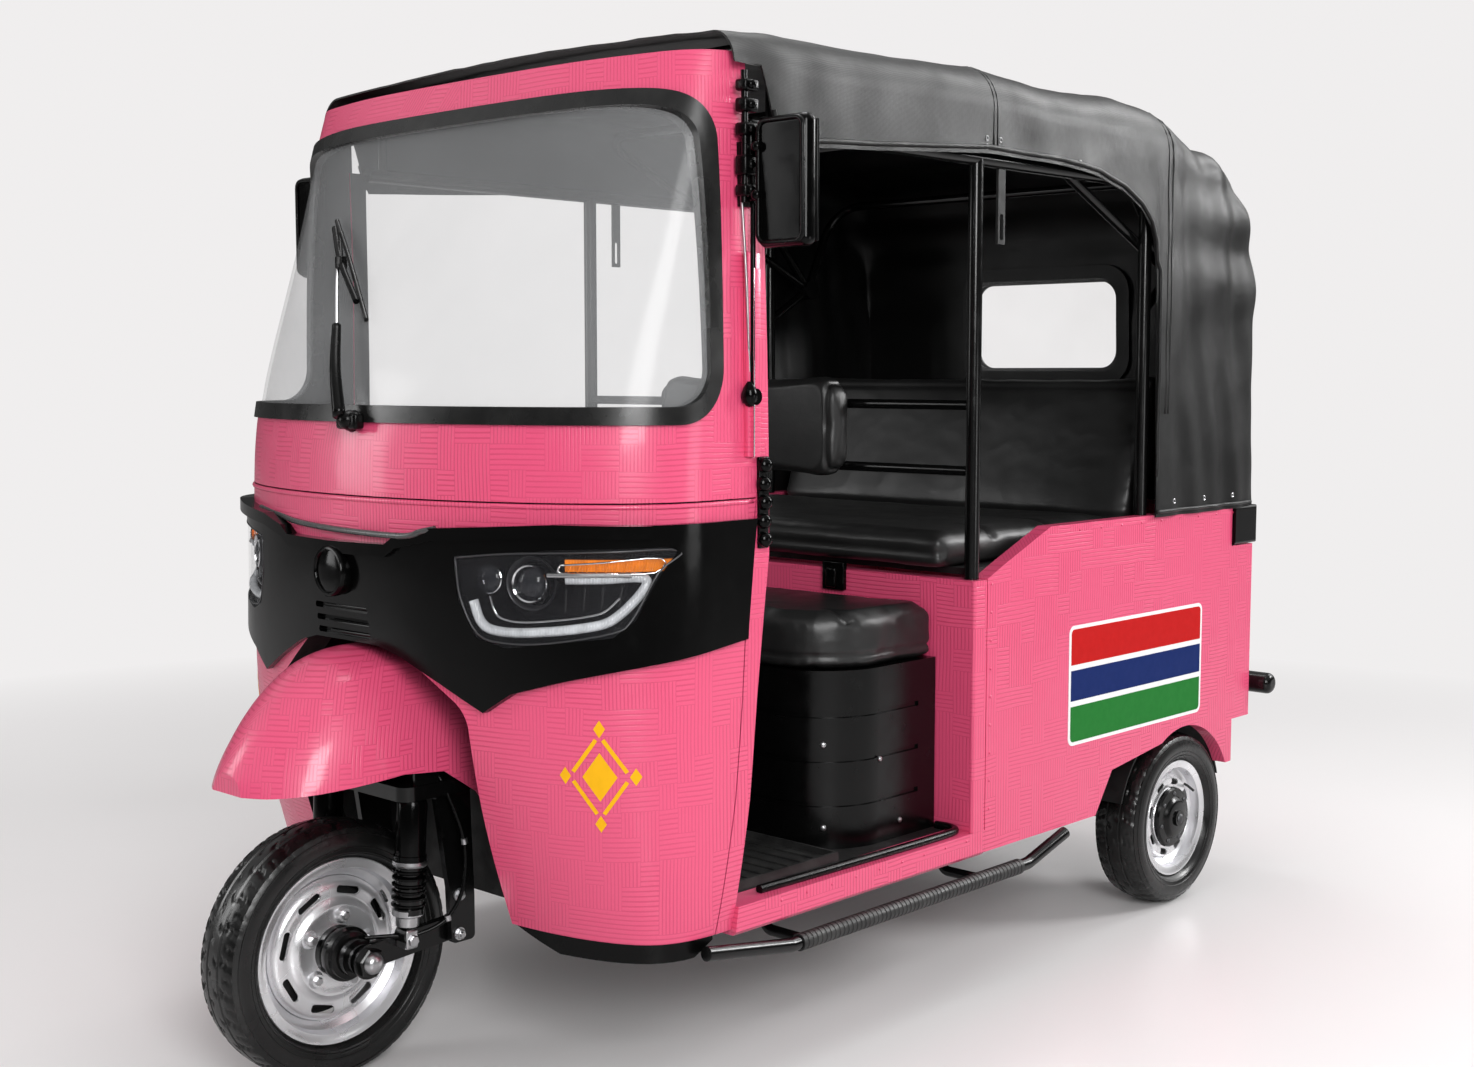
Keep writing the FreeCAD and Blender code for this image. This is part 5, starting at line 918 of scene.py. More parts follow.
def make_stripes(side):
    """Plain stripes with rounded corners on a white ground, on a side panel."""
    back, front, bottom, top = 2.056, 1.485, 0.456, 0.719
    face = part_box("side_panel_left")[1].x
    border = 0.008
    pieces = []

    def plate(outline, lift, material):
        count = len(outline)
        verts = sideways(side, [(x, y, z) for x in (face + lift, face - 0.0005) for y, z in outline])
        faces = [tuple(range(count)), tuple(reversed(range(count, 2 * count)))]
        faces += [(k, count + k, count + (k + 1) % count, (k + 1) % count) for k in range(count)]
        pieces.append(mesh_piece("stripe", verts, faces, material, smooth=False))

    plate(rounded_rectangle(front, back, bottom, top, 0.018), 0.0010, white)
    inner = top - bottom - 2 * border
    stripes = [(red, 0.00, 0.315, (1, 1, 0, 0)), (blue, 0.365, 0.635, (0, 0, 0, 0)),
               (green, 0.685, 1.0, (0, 0, 1, 1))]
    for material, start, end, corners in stripes:
        low, high = (top - border - inner * share for share in (end, start))
        outline = rounded_rectangle(front + border, back - border, low, high, 0.011, corners=corners)
        plate(outline, 0.0016, material)
    joined("painted_stripes_" + side_names[side], pieces, "body_paint")


# Headlamps: reflector, projector, light guide and indicator behind the clear cover

def cover_rim(side, points, way, lift, radius, steps, material):
    """A line laid along the inner or outer face of the lamp cover, closed on itself."""
    way = (side * way[0], way[1], 0.0)
    rim = [on_surface("headlamp_lenses", p, way, lift)[0] for p in sideways(side, points)]
    return pipe(smooth_path(rim + [rim[0]], steps), radius, 6, material)


def make_lamp(side):
    guide = [(0.318, 0.093, 0.880), (0.330, 0.098, 0.846), (0.352, 0.105, 0.832), (0.396, 0.122, 0.829),
             (0.455, 0.148, 0.834), (0.505, 0.178, 0.842), (0.534, 0.206, 0.852), (0.556, 0.234, 0.880),
             (0.570, 0.256, 0.912), (0.560, 0.252, 0.924), (0.520, 0.205, 0.922), (0.472, 0.165, 0.921)]
    pieces = [pipe(smooth_path(sideways(side, guide), 5), 0.0085, 10, guide_white)]
    spot = at(side * 0.409, 0.150, 0.912)
    way = Vector((side * 0.40, -0.915, 0.0))
    bezel = [(0.0, 0.026), (0.010, 0.031), (0.018, 0.0325), (0.020, 0.0315), (0.018, 0.0290), (0.012, 0.0275),
             (0.006, 0.0265), (0.0, 0.0265)]
    outer_bezel = [(-0.006, 0.040), (0.008, 0.046), (0.012, 0.0455), (0.010, 0.0430), (-0.006, 0.038)]
    turns = [math.pi / 2 * k / 8 for k in range(9)]
    ball = [(0.004 + 0.018 * math.cos(a), 0.0265 * math.sin(a)) for a in turns]
    cup = [(-0.030, 0.0), (-0.030, 0.024), (0.0, 0.030), (0.0, 0.0)]
    pieces += [
        lathe(bezel, spot, way, chrome, closed=True),
        lathe(outer_bezel, spot, way, dark_steel, closed=True),
        dome(ball, spot, way, lens_ball, 40, 70.0),
        lathe(cup, spot, way, lamp_trim, 40),
    ]
    outline = [(0.291, 0.070, 0.957), (0.384, 0.104, 0.968), (0.477, 0.149, 0.972), (0.545, 0.220, 0.975),
               (0.606, 0.311, 0.974), (0.594, 0.269, 0.936), (0.572, 0.230, 0.855), (0.550, 0.203, 0.830),
               (0.460, 0.140, 0.810), (0.385, 0.103, 0.806), (0.331, 0.085, 0.820), (0.298, 0.074, 0.885)]
    inset = [(x + (0.445 - x) * 0.05, y, z + (0.892 - z) * 0.07) for x, y, z in outline]
    pieces.append(cover_rim(side, inset, (-0.55, 0.83), 0.0006, 0.0017, 4, dark_steel))
    inner_line = [(0.345, 0.108, 0.888), (0.352, 0.112, 0.862), (0.366, 0.118, 0.850), (0.400, 0.132, 0.846),
                  (0.452, 0.156, 0.851), (0.500, 0.184, 0.859), (0.524, 0.204, 0.868), (0.540, 0.224, 0.890)]
    shelf = [(0.452, 0.142, 0.9285), (0.500, 0.176, 0.9290), (0.560, 0.232, 0.9300)]
    cell = at(side * 0.336, 0.120, 0.916)
    cell_way = Vector((side * 0.30, -0.95, 0.05))
    cell_rim = [(0.0, 0.020), (0.006, 0.0245), (0.010, 0.0250), (0.011, 0.0238), (0.006, 0.0220),
                (0.0, 0.0195)]
    cell_lens = [(0.002, 0.0205), (0.008, 0.016), (0.011, 0.008), (0.012, 0.0)]
    pieces += [
        tube(sideways(side, inner_line), 0.0022, chrome, 5, 8),
        lathe(cell_rim, cell, cell_way, chrome, 40, closed=True),
        dome(cell_lens, cell, cell_way, lens_ball, 32, 70.0),
        tube(sideways(side, shelf), 0.0045, steel, 5, 8),
    ]
    for share in (k / 4 for k in range(5)):
        a = at(side * (0.470 + 0.085 * share), 0.165 + 0.085 * share, 0.866 + 0.008 * share)
        b = at(side * (0.470 + 0.090 * share), 0.168 + 0.085 * share, 0.905 + 0.004 * share)
        pieces.append(straight_tube(a, b, 0.0022, lamp_trim, 2, 8))
    joined("headlamp_inside_" + side_names[side], pieces, "lamp_lens")


def make_signal_ribs(side):
    """Moulded ribs and a bright rim over the amber indicator."""
    rim = [(0.475, 0.1475, 0.9455), (0.530, 0.1965, 0.9505), (0.594, 0.2705, 0.9565), (0.589, 0.2590, 0.9325),
           (0.530, 0.1960, 0.9325), (0.476, 0.1480, 0.9325)]
    pieces = [cover_rim(side, rim, (-0.6, 0.8), -0.006, 0.0016, 3, chrome)]
    for share in ((k + 0.5) / 9 for k in range(9)):
        x, y = 0.482 + 0.100 * share, 0.152 + 0.105 * share
        ends = sideways(side, [(x - 0.003, y, 0.9345), (x + 0.004, y, 0.9460 + 0.007 * share)])
        low, high = (on_surface("headlamp_lenses", end, (-side * 0.6, 0.8, 0.0), -0.007)[0] for end in ends)
        pieces.append(straight_tube(low, high, 0.0011, amber, 2, 6))
    joined("indicator_ribs_" + side_names[side], pieces, "amber_lens")


# Nose: round boss without any sign, and raised louvre bars

def make_nose():
    spot, _ = on_surface("fascia", at(0.0, 0.02, 0.911), (0.0, 1.0, 0.0))
    way = Vector((0.0, -1.0, 0.03)).normalized()
    base = spot + way * 0.001
    ring = [(-0.012, 0.0455), (0.002, 0.0455), (0.005, 0.0435), (0.0055, 0.040), (0.003, 0.0375),
            (0.001, 0.0370), (-0.012, 0.0370)]
    dish = [(0.001, 0.0370), (0.002, 0.034), (0.0035, 0.024), (0.0045, 0.012), (0.0048, 0.0)]
    boss = [lathe(ring, base, way, gloss_black, 64, closed=True), dome(dish, base, way, gloss_black, 64)]
    joined("nose_boss", boss, "fascia_plastic")
    bars = []
    for k, height in enumerate((0.848, 0.832, 0.816, 0.800)):
        half = 0.088 - 0.004 * k
        line = []
        for share in (-0.70, -0.2, 0.3, 0.8, 1.05):
            hit, _ = on_surface("front_apron", at(half * share + 0.012, 0.05, height), (0, 1, 0), 0.004)
            line.append(hit + Vector((0, -0.004, 0)))
        bars.append(tube(line, 0.0036, gloss_black, 4, 10))
    joined("louvre_bars", bars, "fascia_plastic")


# Wiper: arm, hinge and blade against the windscreen

def make_wiper():
    def on_glass(x, z, lift):
        return on_surface("windscreen_glass", at(x, 0.15, z), (0.0, 1.0, -0.1), lift)[0]

    pivot = at(0.046, 0.040, 1.178)
    cap = [(0.0, 0.0), (0.0, 0.020), (0.010, 0.018), (0.022, 0.0145), (0.028, 0.009), (0.029, 0.0)]
    start = pivot + Vector((-0.002, -0.022, 0.010))
    shoulder, wrist = on_glass(-0.060, 1.330, 0.032), on_glass(-0.178, 1.500, 0.030)
    arm_base = smooth_path([start, (start + shoulder) / 2 + Vector((0.004, -0.008, 0.0)), shoulder], 8)
    high, low = on_glass(-0.262, 1.560, 0.012), on_glass(-0.006, 1.350, 0.012)
    lifted_high, lifted_low = (high.lerp(low, share) + Vector((0.0, -0.012, 0.006)) for share in (0.12, 0.86))
    hinge = (high + low) / 2 + Vector((0.0, -0.022, 0.010))
    hinge_half = Vector((0.010, 0.008, 0.012))
    pieces = [
        dome(cap, pivot + Vector((0, 0.006, 0)), (0.05, -0.98, 0.20), satin_black, 32, 50.0),
        block(pivot - Vector((0.030, 0.012, 0.014)), pivot + Vector((0.030, 0.010, 0.016)), satin_black,
              0.006),
        pipe(arm_base, [0.012 - 0.0035 * k / 16 for k in range(17)], 10, satin_black),
        straight_tube(shoulder, wrist, 0.0038, chrome, 6, 10, (0.0, -0.003, 0.0)),
        tube([high, on_glass(-0.16, 1.478, 0.010), low], 0.0048, seal_rubber, 8, 8),
        tube([lifted_high, hinge, lifted_low], 0.0062, satin_black, 8, 10),
        block(hinge - hinge_half, hinge + hinge_half, satin_black, 0.003),
        straight_tube(wrist, hinge, 0.0048, satin_black, 4, 10),
    ]
    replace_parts(joined("wiper_dressed", pieces, "black_steel"), "wiper")


for side in side_names:
    make_ornament(side)
    make_stripes(side)
    make_lamp(side)
    make_signal_ribs(side)
make_nose()
make_wiper()


# Body trim: beads, seams, catches, mirror fittings, rivets and skirts

cab_middle = 0.45
body_wall = 0.600


def around_apron(height, angle, lift=0.0):
    """The point of the apron's outer face at a height, under an angle from straight ahead."""
    way = Vector((math.sin(math.radians(angle)), -math.cos(math.radians(angle)), 0.0))
    hit, _, _, _ = tree_of("front_apron").ray_cast(at(0.0, cab_middle, height) + way * 1.6, -way)
    return hit and hit + way * lift


def waist_band(height, radius, lift, material):
    steps, reach = 90, 98.0
    points = [around_apron(height, reach * (2 * k / steps - 1), lift) for k in range(steps + 1)]
    return pipe([p for p in points if p], radius, 8, material)


def knob(spot, way, radius, height, material=gloss_black):
    outline = [(0.18, 0.8), (0.25, 0.55), (0.42, 0.55), (0.5, 1.0), (0.8, 0.92), (0.96, 0.55)]
    profile = [(-0.002, radius * 0.8)] + [(height * x, radius * r) for x, r in outline] + [(height, 0.0)]
    return dome(profile, spot, way, material, 24)


def rivet_row(node, side, points, radius):
    """Rivet heads set into a panel from outside."""
    head = [(-0.001, radius)] + [(radius * x, radius * r) for x, r in ((0.4, 0.85), (0.7, 0.45), (0.75, 0.0))]
    spots = [on_surface(node, point, (-side, 0.0, 0.0)) for point in sideways(side, points)]
    return [dome(head, spot, normal, paint, 12, 70.0) for spot, normal in spots]


def make_waist():
    seam, bead_drop = 1.0475, 0.0065
    bands = [waist_band(seam, 0.0026, 0.0, seal_rubber), waist_band(seam - bead_drop, 0.0046, -0.0008, paint)]
    joined("waist_seam", bands, "body_paint")
    points = [(-0.339, 0.097, 1.004), (-0.235, 0.071, 0.998), (-0.141, 0.049, 0.990), (0.020, 0.035, 0.985),
              (0.194, 0.037, 0.985), (0.235, 0.047, 0.994), (0.262, 0.057, 1.000)]
    # The nose ledge is a strip along the fascia's top bevel whose light grey paints the highlight there
    joined("nose_ledge", [tube(sideways(1, points), 0.0055, ledge_painted_highlight, 8, 10)], "fascia_plastic")


def make_skirt(side):
    """Black rubber edge under the painted nose."""
    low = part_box("front_apron")[0].z
    steps, drop, hidden, thickness = 30, 0.036, 0.010, 0.010
    edge = [around_apron(low + 0.012, side * (33.0 + 60.0 * k / steps), -0.006) for k in range(steps + 1)]
    edge = [top for top in edge if top]
    verts = []
    for k, top in enumerate(edge):
        ease = min(1.0, k / 5.0, (len(edge) - 1 - k) / 3.0 + 0.3)
        lower = top + Vector((0.0, 0.0, -drop * ease - hidden))
        inward = (at(0.0, cab_middle, top.z) - top).normalized() * thickness
        inward.z = 0.0
        verts += [top, lower, lower + inward, top + inward]
    count = len(verts)
    faces = grid_faces(len(edge), 4, False) + [(3, 2, 1, 0), tuple(range(count - 4, count))]
    skirt = mesh_piece("nose_skirt_" + side_names[side], verts, faces, satin_black)
    settle(sharpen(skirt, 30.0))


def side_block(side, x, y, z, material, radius=0.003):
    """A rounded block on one side, from its stretches outwards, along and up."""
    low_x, high_x = sorted((side * x[0], side * x[1]))
    return block(at(low_x, y[0], z[0]), at(high_x, y[1], z[1]), material, radius)


def make_door_edge(side):
    """Stepped strip, catches and knobs on the edge of the door opening."""
    wall = body_wall
    joined("door_strip_" + side_names[side], [
        side_block(side, (wall - 0.004, wall + 0.010), (0.462, 0.492), (1.118, 1.468), paint),
        side_block(side, (wall + 0.006, wall + 0.0165), (0.468, 0.486), (1.118, 1.440), paint, 0.002),
    ], "body_paint")
    # A thin chrome line along the strip's outer edge paints the highlight that falls on that edge
    edge_highlight_line = [(wall + 0.0170, 0.468, z) for z in (1.12, 1.28, 1.44)]
    pieces = [tube(sideways(side, edge_highlight_line), 0.0016, chrome, 2, 8)]
    for k in range(5):
        spot = at(side * (wall - 0.002), 0.508 - 0.003 * (k % 2), 1.103 - 0.0325 * k)
        pieces.append(knob(spot, (side * 0.92, -0.38, 0.05), 0.0135, 0.024))
    pieces.append(side_block(side, (wall - 0.002, wall + 0.006), (0.494, 0.520), (0.958, 1.118), satin_black))
    for z, tall in ((1.745, 0.020), (1.712, 0.024), (1.672, 0.022), (1.612, 0.034), (1.570, 0.020)):
        stretches = (wall - 0.004, wall + 0.022), (0.440, 0.476), (z - tall / 2, z + tall / 2)
        pieces.append(side_block(side, *stretches, satin_black, 0.005))
        pieces.append(knob(at(side * (wall + 0.020), 0.455, z), (side, -0.25, 0.0), 0.008, 0.010))
    rail = [(wall + 0.008, 0.452, 1.77), (wall + 0.010, 0.452, 1.66), (wall + 0.008, 0.452, 1.55)]
    stay = [(wall + 0.001, 0.452, 1.575), (wall + 0.006, 0.460, 1.42), (wall + 0.008, 0.466, 1.265)]
    drop = [(0.0, 0.004), (0.010, 0.0105), (0.022, 0.0145), (0.034, 0.0125), (0.042, 0.006), (0.044, 0.0)]
    pieces += [
        tube(sideways(side, rail), 0.006, satin_black, 4, 10),
        tube(sideways(side, stay), 0.0026, steel, 4, 8),
        dome(drop, at(side * (wall + 0.010), 0.464, 1.248), (0, 0, -1), gloss_black, 24),
    ]
    joined("door_edge_fittings_" + side_names[side], pieces, "black_plastic")


def make_mirror_trim(side):
    """Bracket, clamp and rim on the mirror's shell."""
    shell_face = 0.452
    rim = [(x, shell_face, z) for x, z in rounded_rectangle(0.640, 0.740, 1.480, 1.682, 0.016, 4)]
    joined("mirror_trim_" + side_names[side], [
        side_block(side, (0.598, 0.665), (0.462, 0.492), (1.650, 1.676), satin_black, 0.006),
        side_block(side, (0.598, 0.618), (0.458, 0.496), (1.595, 1.690), satin_black, 0.006),
        side_block(side, (0.636, 0.744), (0.484, 0.491), (1.480, 1.682), satin_black, 0.010),
        side_block(side, (0.648, 0.732), (0.4905, 0.4930), (1.492, 1.670), mirror_face, 0.008),
        knob(at(side * 0.640, shell_face, 1.640), (0.0, -1.0, 0.0), 0.009, 0.012),
        knob(at(side * 0.640, shell_face, 1.560), (0.0, -1.0, 0.0), 0.009, 0.012),
        pipe(sideways(side, rim), 0.0042, 8, satin_black, closed=True),
    ], "black_plastic")


def make_rivets():
    outside, count = 0.7, 9
    front_edge = [(outside, 1.196, 0.372 + 0.058 * k) for k in range(count)]
    sill = [(outside, 0.56 + 0.070 * k, 0.318) for k in range(count)]
    rail = [(outside, 1.52 + 0.085 * k, 0.926) for k in range(count)]
    pieces = []
    for side, name in side_names.items():
        pieces += rivet_row("side_panel_" + name, side, front_edge, 0.0034)
        pieces += rivet_row("side_sills", side, sill, 0.0030)
        pieces += rivet_row("side_panel_" + name, side, rail, 0.0030)
    joined("panel_rivets", pieces, "body_paint")


def make_floor_edge():
    """Rolled rubber edge of the floor covering, and the catch under the passengers' deck."""
    height = 0.3365
    plan = [(0.568, 0.535), (0.574, 0.70), (0.580, 0.95), (0.580, 1.075), (0.572, 1.118), (0.548, 1.130),
            (0.516, 1.128)]
    edges = [tube(sideways(side, [(x, y, height) for x, y in plan]), 0.0085, satin_black, 6, 10)
             for side in side_names]
    joined("floor_edge", edges, "rubber_black")
    joined("deck_catch", [
        block(at(0.204, 1.128, 0.800), at(0.264, 1.142, 0.862), gloss_black, 0.004),
        block(at(0.220, 1.118, 0.806), at(0.248, 1.134, 0.850), gloss_black, 0.006),
    ], "black_steel")


def second_finish(node, material, test):
    """A second finish on the faces that the test picks."""
    mesh = nodes[node].data
    mesh.materials.append(material)
    for polygon in mesh.polygons:
        polygon.material_index = int(test(polygon))


# Faces that look into the cab or downwards; they get painted shade
def inner_face(polygon):
    outward = polygon.center - at(0.0, 0.62, polygon.center.z)
    outward.z = 0.0
    return polygon.normal.dot(outward.normalized()) < -0.15 or polygon.normal.z < -0.8


def make_step_sleeve(side):
    """Ribbed rubber sleeve on the low run of the side step."""
    low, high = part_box("side_steps")
    tube_radius, rib, groove, bore = 0.013, 0.0162, 0.0150, 0.0128
    start, end, pitch = 0.600, 1.310, 0.0125
    count = int((end - start) / pitch)
    profile = []
    for k in range(count):
        profile += [(k * pitch + pitch * share, radius)
                    for share, radius in ((0.0, rib), (0.62, rib), (0.68, groove), (0.94, groove))]
    profile += [(count * pitch, bore), (0.0, bore)]
    centre = at(side * (high.x - tube_radius), start, low.z + tube_radius)
    sleeve = lathe(profile, centre, (0.0, 1.0, 0.0), mat_rubber, 28, closed=True, degrees=30.0)
    joined("step_sleeve_" + side_names[side], [sleeve], "rubber_black")


def make_wheel_flange(side):
    """Dark sheet that closes the gap between the wheel's liner and the edge of the painted nose."""
    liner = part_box("wheel_well")[1].x
    heights = [0.305 + 0.0195 * k for k in range(22)]
    scan = [0.200 + 0.004 * k for k in range(60)]
    deepest_edge, overlap, thickness = 0.32, 0.006, 0.003
    verts = []
    for z in heights:
        for x in scan:
            hit, _, _, _ = tree_of("front_apron").ray_cast(at(side * x, -0.5, z), Vector((0.0, 1.0, 0.0)))
            if hit is not None and hit.y - axle_y < deepest_edge:
                edge_x, edge_y = x + overlap, hit.y - axle_y + 0.016
                back_y = max(0.215, edge_y + 0.05)
                verts += sideways(side, [(edge_x, edge_y, z),
                                         (edge_x * 0.5 + liner * 0.5, edge_y * 0.6 + back_y * 0.4, z),
                                         (liner + 0.002, back_y, z)])
                break
    faces = grid_faces(len(verts) // 3, 3, False, False)
    flange = mesh_piece("wheel_flange_" + side_names[side], verts, faces, dark_sheet_and_inner_shade)
    settle(modified(flange, "SOLIDIFY", thickness=thickness, offset=0.0))


make_waist()
for side in side_names:
    make_skirt(side)
    make_door_edge(side)
    make_mirror_trim(side)
    make_step_sleeve(side)
    make_wheel_flange(side)
make_rivets()
make_floor_edge()
# Painted shade: the apron, cab frame and door frames are near black on the faces that look inwards or down
for node in ("front_apron", "cab_frame", "door_frames"):
    second_finish(node, dark_sheet_and_inner_shade, inner_face)
second_finish("tail_lamps", gloss_black, lambda polygon: polygon.normal.y < 0.5)


# Seats: pads blown up by a short cloth simulation, then sewn channels pressed in

def pad_copy(node, name, voxel, inset):
    """A remeshed copy of a packed pad, a little smaller on every side."""
    obj = bpy.data.objects.new(name, nodes[node].data.copy())
    bpy.context.scene.collection.objects.link(obj)
    low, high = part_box(node)
    centre, size = (low + high) / 2, high - low
    for v in obj.data.vertices:
        for k in range(3):
            v.co[k] = centre[k] + (v.co[k] - centre[k]) * (1.0 - 2.0 * inset[k] / size[k])
    return modified(obj, "REMESH", mode="VOXEL", voxel_size=voxel)


def blow_up(obj, pressure, limit):
    """Cloth under air pressure, with no point moved beyond the limit."""
    frames = 20
    cloth = obj.modifiers.new("air", "CLOTH")
    stiffness = {"tension_stiffness": 30.0, "compression_stiffness": 30.0, "shear_stiffness": 12.0,
                 "bending_stiffness": 1.5}
    air = {"quality": 4, "mass": 0.3, "use_pressure": True, "uniform_pressure_force": pressure}
    for key, value in {**stiffness, **air}.items():
        setattr(cloth.settings, key, value)
    cloth.settings.effector_weights.gravity = 0.0
    cloth.point_cache.frame_start = 1
    cloth.point_cache.frame_end = frames
    scene = bpy.context.scene
    for frame_number in range(1, frames + 1):
        scene.frame_set(frame_number)
    depsgraph = bpy.context.evaluated_depsgraph_get()
    shaped = [v.co.copy() for v in obj.evaluated_get(depsgraph).to_mesh().vertices]
    obj.modifiers.remove(cloth)
    scene.frame_set(1)
    for v, new in zip(obj.data.vertices, shaped):
        move = new - v.co
        if move.length > limit:
            move = move.normalized() * limit
        v.co = v.co + move


def press_channels(obj, channels, crease):
    """Sewn lines: each is an axis, a place, a half width, a depth and a test; soft creases lie over the whole
    pad.
    """
    mesh = obj.data
    normals = [v.normal.copy() for v in mesh.vertices]
    for v, normal in zip(mesh.vertices, normals):
        sink = 0.0
        for axis, place, width, depth, keep in channels:
            if keep is None or keep(normal):
                sink = max(sink, depth * math.exp(-((v.co[axis] - place) / width) ** 2))
        spot = Vector((v.co.x * 7.0, v.co.y * 9.0, v.co.z * 9.0))
        wave = noise.noise(spot) * crease + noise.noise(spot * 3.1) * crease * 0.45
        v.co = v.co - normal * (sink + abs(wave))


def make_pad(node, name, voxel, inset, limit, channels, crease):
    pad = pad_copy(node, name, voxel, inset)
    blow_up(pad, 5.0, limit)
    modified(pad, "SUBSURF", levels=1, render_levels=1)
    press_channels(pad, channels, crease)
    margin = 0.002
    low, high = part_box(node)
    for v in pad.data.vertices:
        for k in range(3):
            v.co[k] = min(max(v.co[k], low[k] + margin * 0.2), high[k] + margin)
    for polygon in pad.data.polygons:
        polygon.use_smooth = True
    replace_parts(pad, node)
    settle(pad)


def faces_up(normal):
    return normal.z > 0.35


def faces_forward(normal):
    return normal.y < -0.2


def faces_knees(normal):
    return faces_forward(normal) or normal.z > 0.2


def make_seats():
    low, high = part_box("driver_cushion")
    make_pad("driver_cushion", "driver_seat_pad", 0.011, (0.004, 0.004, 0.003), 0.014,
             [(1, low.y + 0.10, 0.010, 0.008, faces_up), (2, low.z + 0.026, 0.005, 0.006, None)], 0.004)
    low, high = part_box("driver_backrest")
    make_pad("driver_backrest", "driver_back_pad", 0.010, (0.005, 0.004, 0.005), 0.012,
             [(0, place, 0.005, 0.006, None) for place in (high.x - 0.035, low.x + 0.035)], 0.0018)
    low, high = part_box("bench_cushion")
    channels = [(1, low.y + (high.y - low.y) * share, 0.010, 0.009, faces_up) for share in (0.30, 0.62)]
    channels.append((2, low.z + (high.z - low.z) * 0.42, 0.008, 0.008, faces_knees))
    make_pad("bench_cushion", "bench_seat_pad", 0.014, (0.004, 0.004, 0.003), 0.014, channels, 0.003)
    low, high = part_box("bench_backrest")
    channels = [(2, high.z - 0.030, 0.007, 0.005, faces_forward),
                (2, low.z + (high.z - low.z) * 0.16, 0.010, 0.010, faces_forward)]
    make_pad("bench_backrest", "bench_back_pad", 0.014, (0.004, 0.004, 0.004), 0.012, channels, 0.002)


def make_seat_box_bolts():
    large = [(0.0, 0.0065), (0.003, 0.0060), (0.0045, 0.0035), (0.0048, 0.0)]
    small = [(0.0, 0.0055), (0.0025, 0.0050), (0.004, 0.0030), (0.0044, 0.0)]
    places = [(large, side * 0.457, y, z, (-side, 0.25, 0.0))
              for y, z in ((0.839, 0.538), (0.840, 0.373)) for side in side_names]
    places += [(small, 0.55, y, z, (-1.0, 0.0, 0.0)) for y, z in ((0.955, 0.50), (1.02, 0.365))]
    pieces = []
    for head, x, y, z, way in places:
        spot, normal = on_surface("driver_seat_box", at(x, y, z), way)
        pieces.append(dome(head, spot, normal, steel, 16))
    joined("seat_box_bolts", pieces, "shaft_steel")


make_seats()
make_seat_box_bolts()


# Front suspension: rings, collars, clevises, bolts and the brake line on the steered fork

def middle_of(points):
    """Middle of the box around the points."""
    low, high = (Vector([pick(p[k] for p in points) for k in range(3)]) for pick in (min, max))
    return (low + high) / 2


def make_damper_trim(side):
    """Sleeve, bellows, collars and clevis on a front damper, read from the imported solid."""
    points = [v.co for v in nodes["front_shocks"].data.vertices if v.co.x * side > 0]
    heights = [p.z for p in points]
    widths = [p.x * side for p in points]
    reach = (max(heights) - min(heights)) * 0.14
    top = middle_of([p for p in points if p.z > max(heights) - reach])
    foot = middle_of([p for p in points if p.z < min(heights) + reach])
    radius = (max(widths) - min(widths)) / 2
    length = (foot - top).length
    way = (foot - top).normalized()
    sleeve = [(0.0, radius * 0.96), (0.006, radius * 1.06), (length * 0.40, radius * 1.06),
              (length * 0.405, radius * 1.14), (length * 0.44, radius * 1.14), (length * 0.445, radius * 0.8),
              (0.0, radius * 0.8)]
    collar = [(0.0, radius * 1.20), (0.006, radius * 1.22), (0.010, radius * 1.12), (0.010, radius * 0.7),
              (0.0, radius * 0.7)]
    ridges, start, end = 6, length * 0.50, length * 0.80
    step = (end - start) / ridges
    bellows = [(start + step * (k + share), radius * wide) for k in range(ridges)
               for share, wide in ((0.0, 0.86), (0.30, 1.18), (0.55, 1.18), (0.90, 0.86))]
    bellows += [(end, radius * 0.7), (start, radius * 0.7)]
    lower = [(end + 0.002, radius * 0.7), (end + 0.002, radius * 1.08), (end + 0.012, radius * 1.08),
             (end + 0.016, radius * 0.82), (length * 0.93, radius * 0.80), (length * 0.93, radius * 0.5)]
    clevis = foot + Vector((0.0, 0.0, -0.004))
    joined("front_damper_trim_" + side_names[side], [
        lathe(sleeve, top, way, gloss_black, 40, closed=True),
        lathe(collar, top + way * length * 0.445, way, steel, 40, closed=True),
        lathe(bellows, top, way, gloss_black, 40, closed=True, degrees=50.0),
        lathe(lower, top, way, steel, 40),
        block(clevis - Vector((0.017, 0.013, 0.020)), clevis + Vector((0.017, 0.013, 0.016)), steel, 0.004),
        hex_nut(clevis + Vector((side * 0.017, 0.0, -0.004)), outwards(side), 0.0105, 0.007, steel),
    ], "damper_steel", "steering")


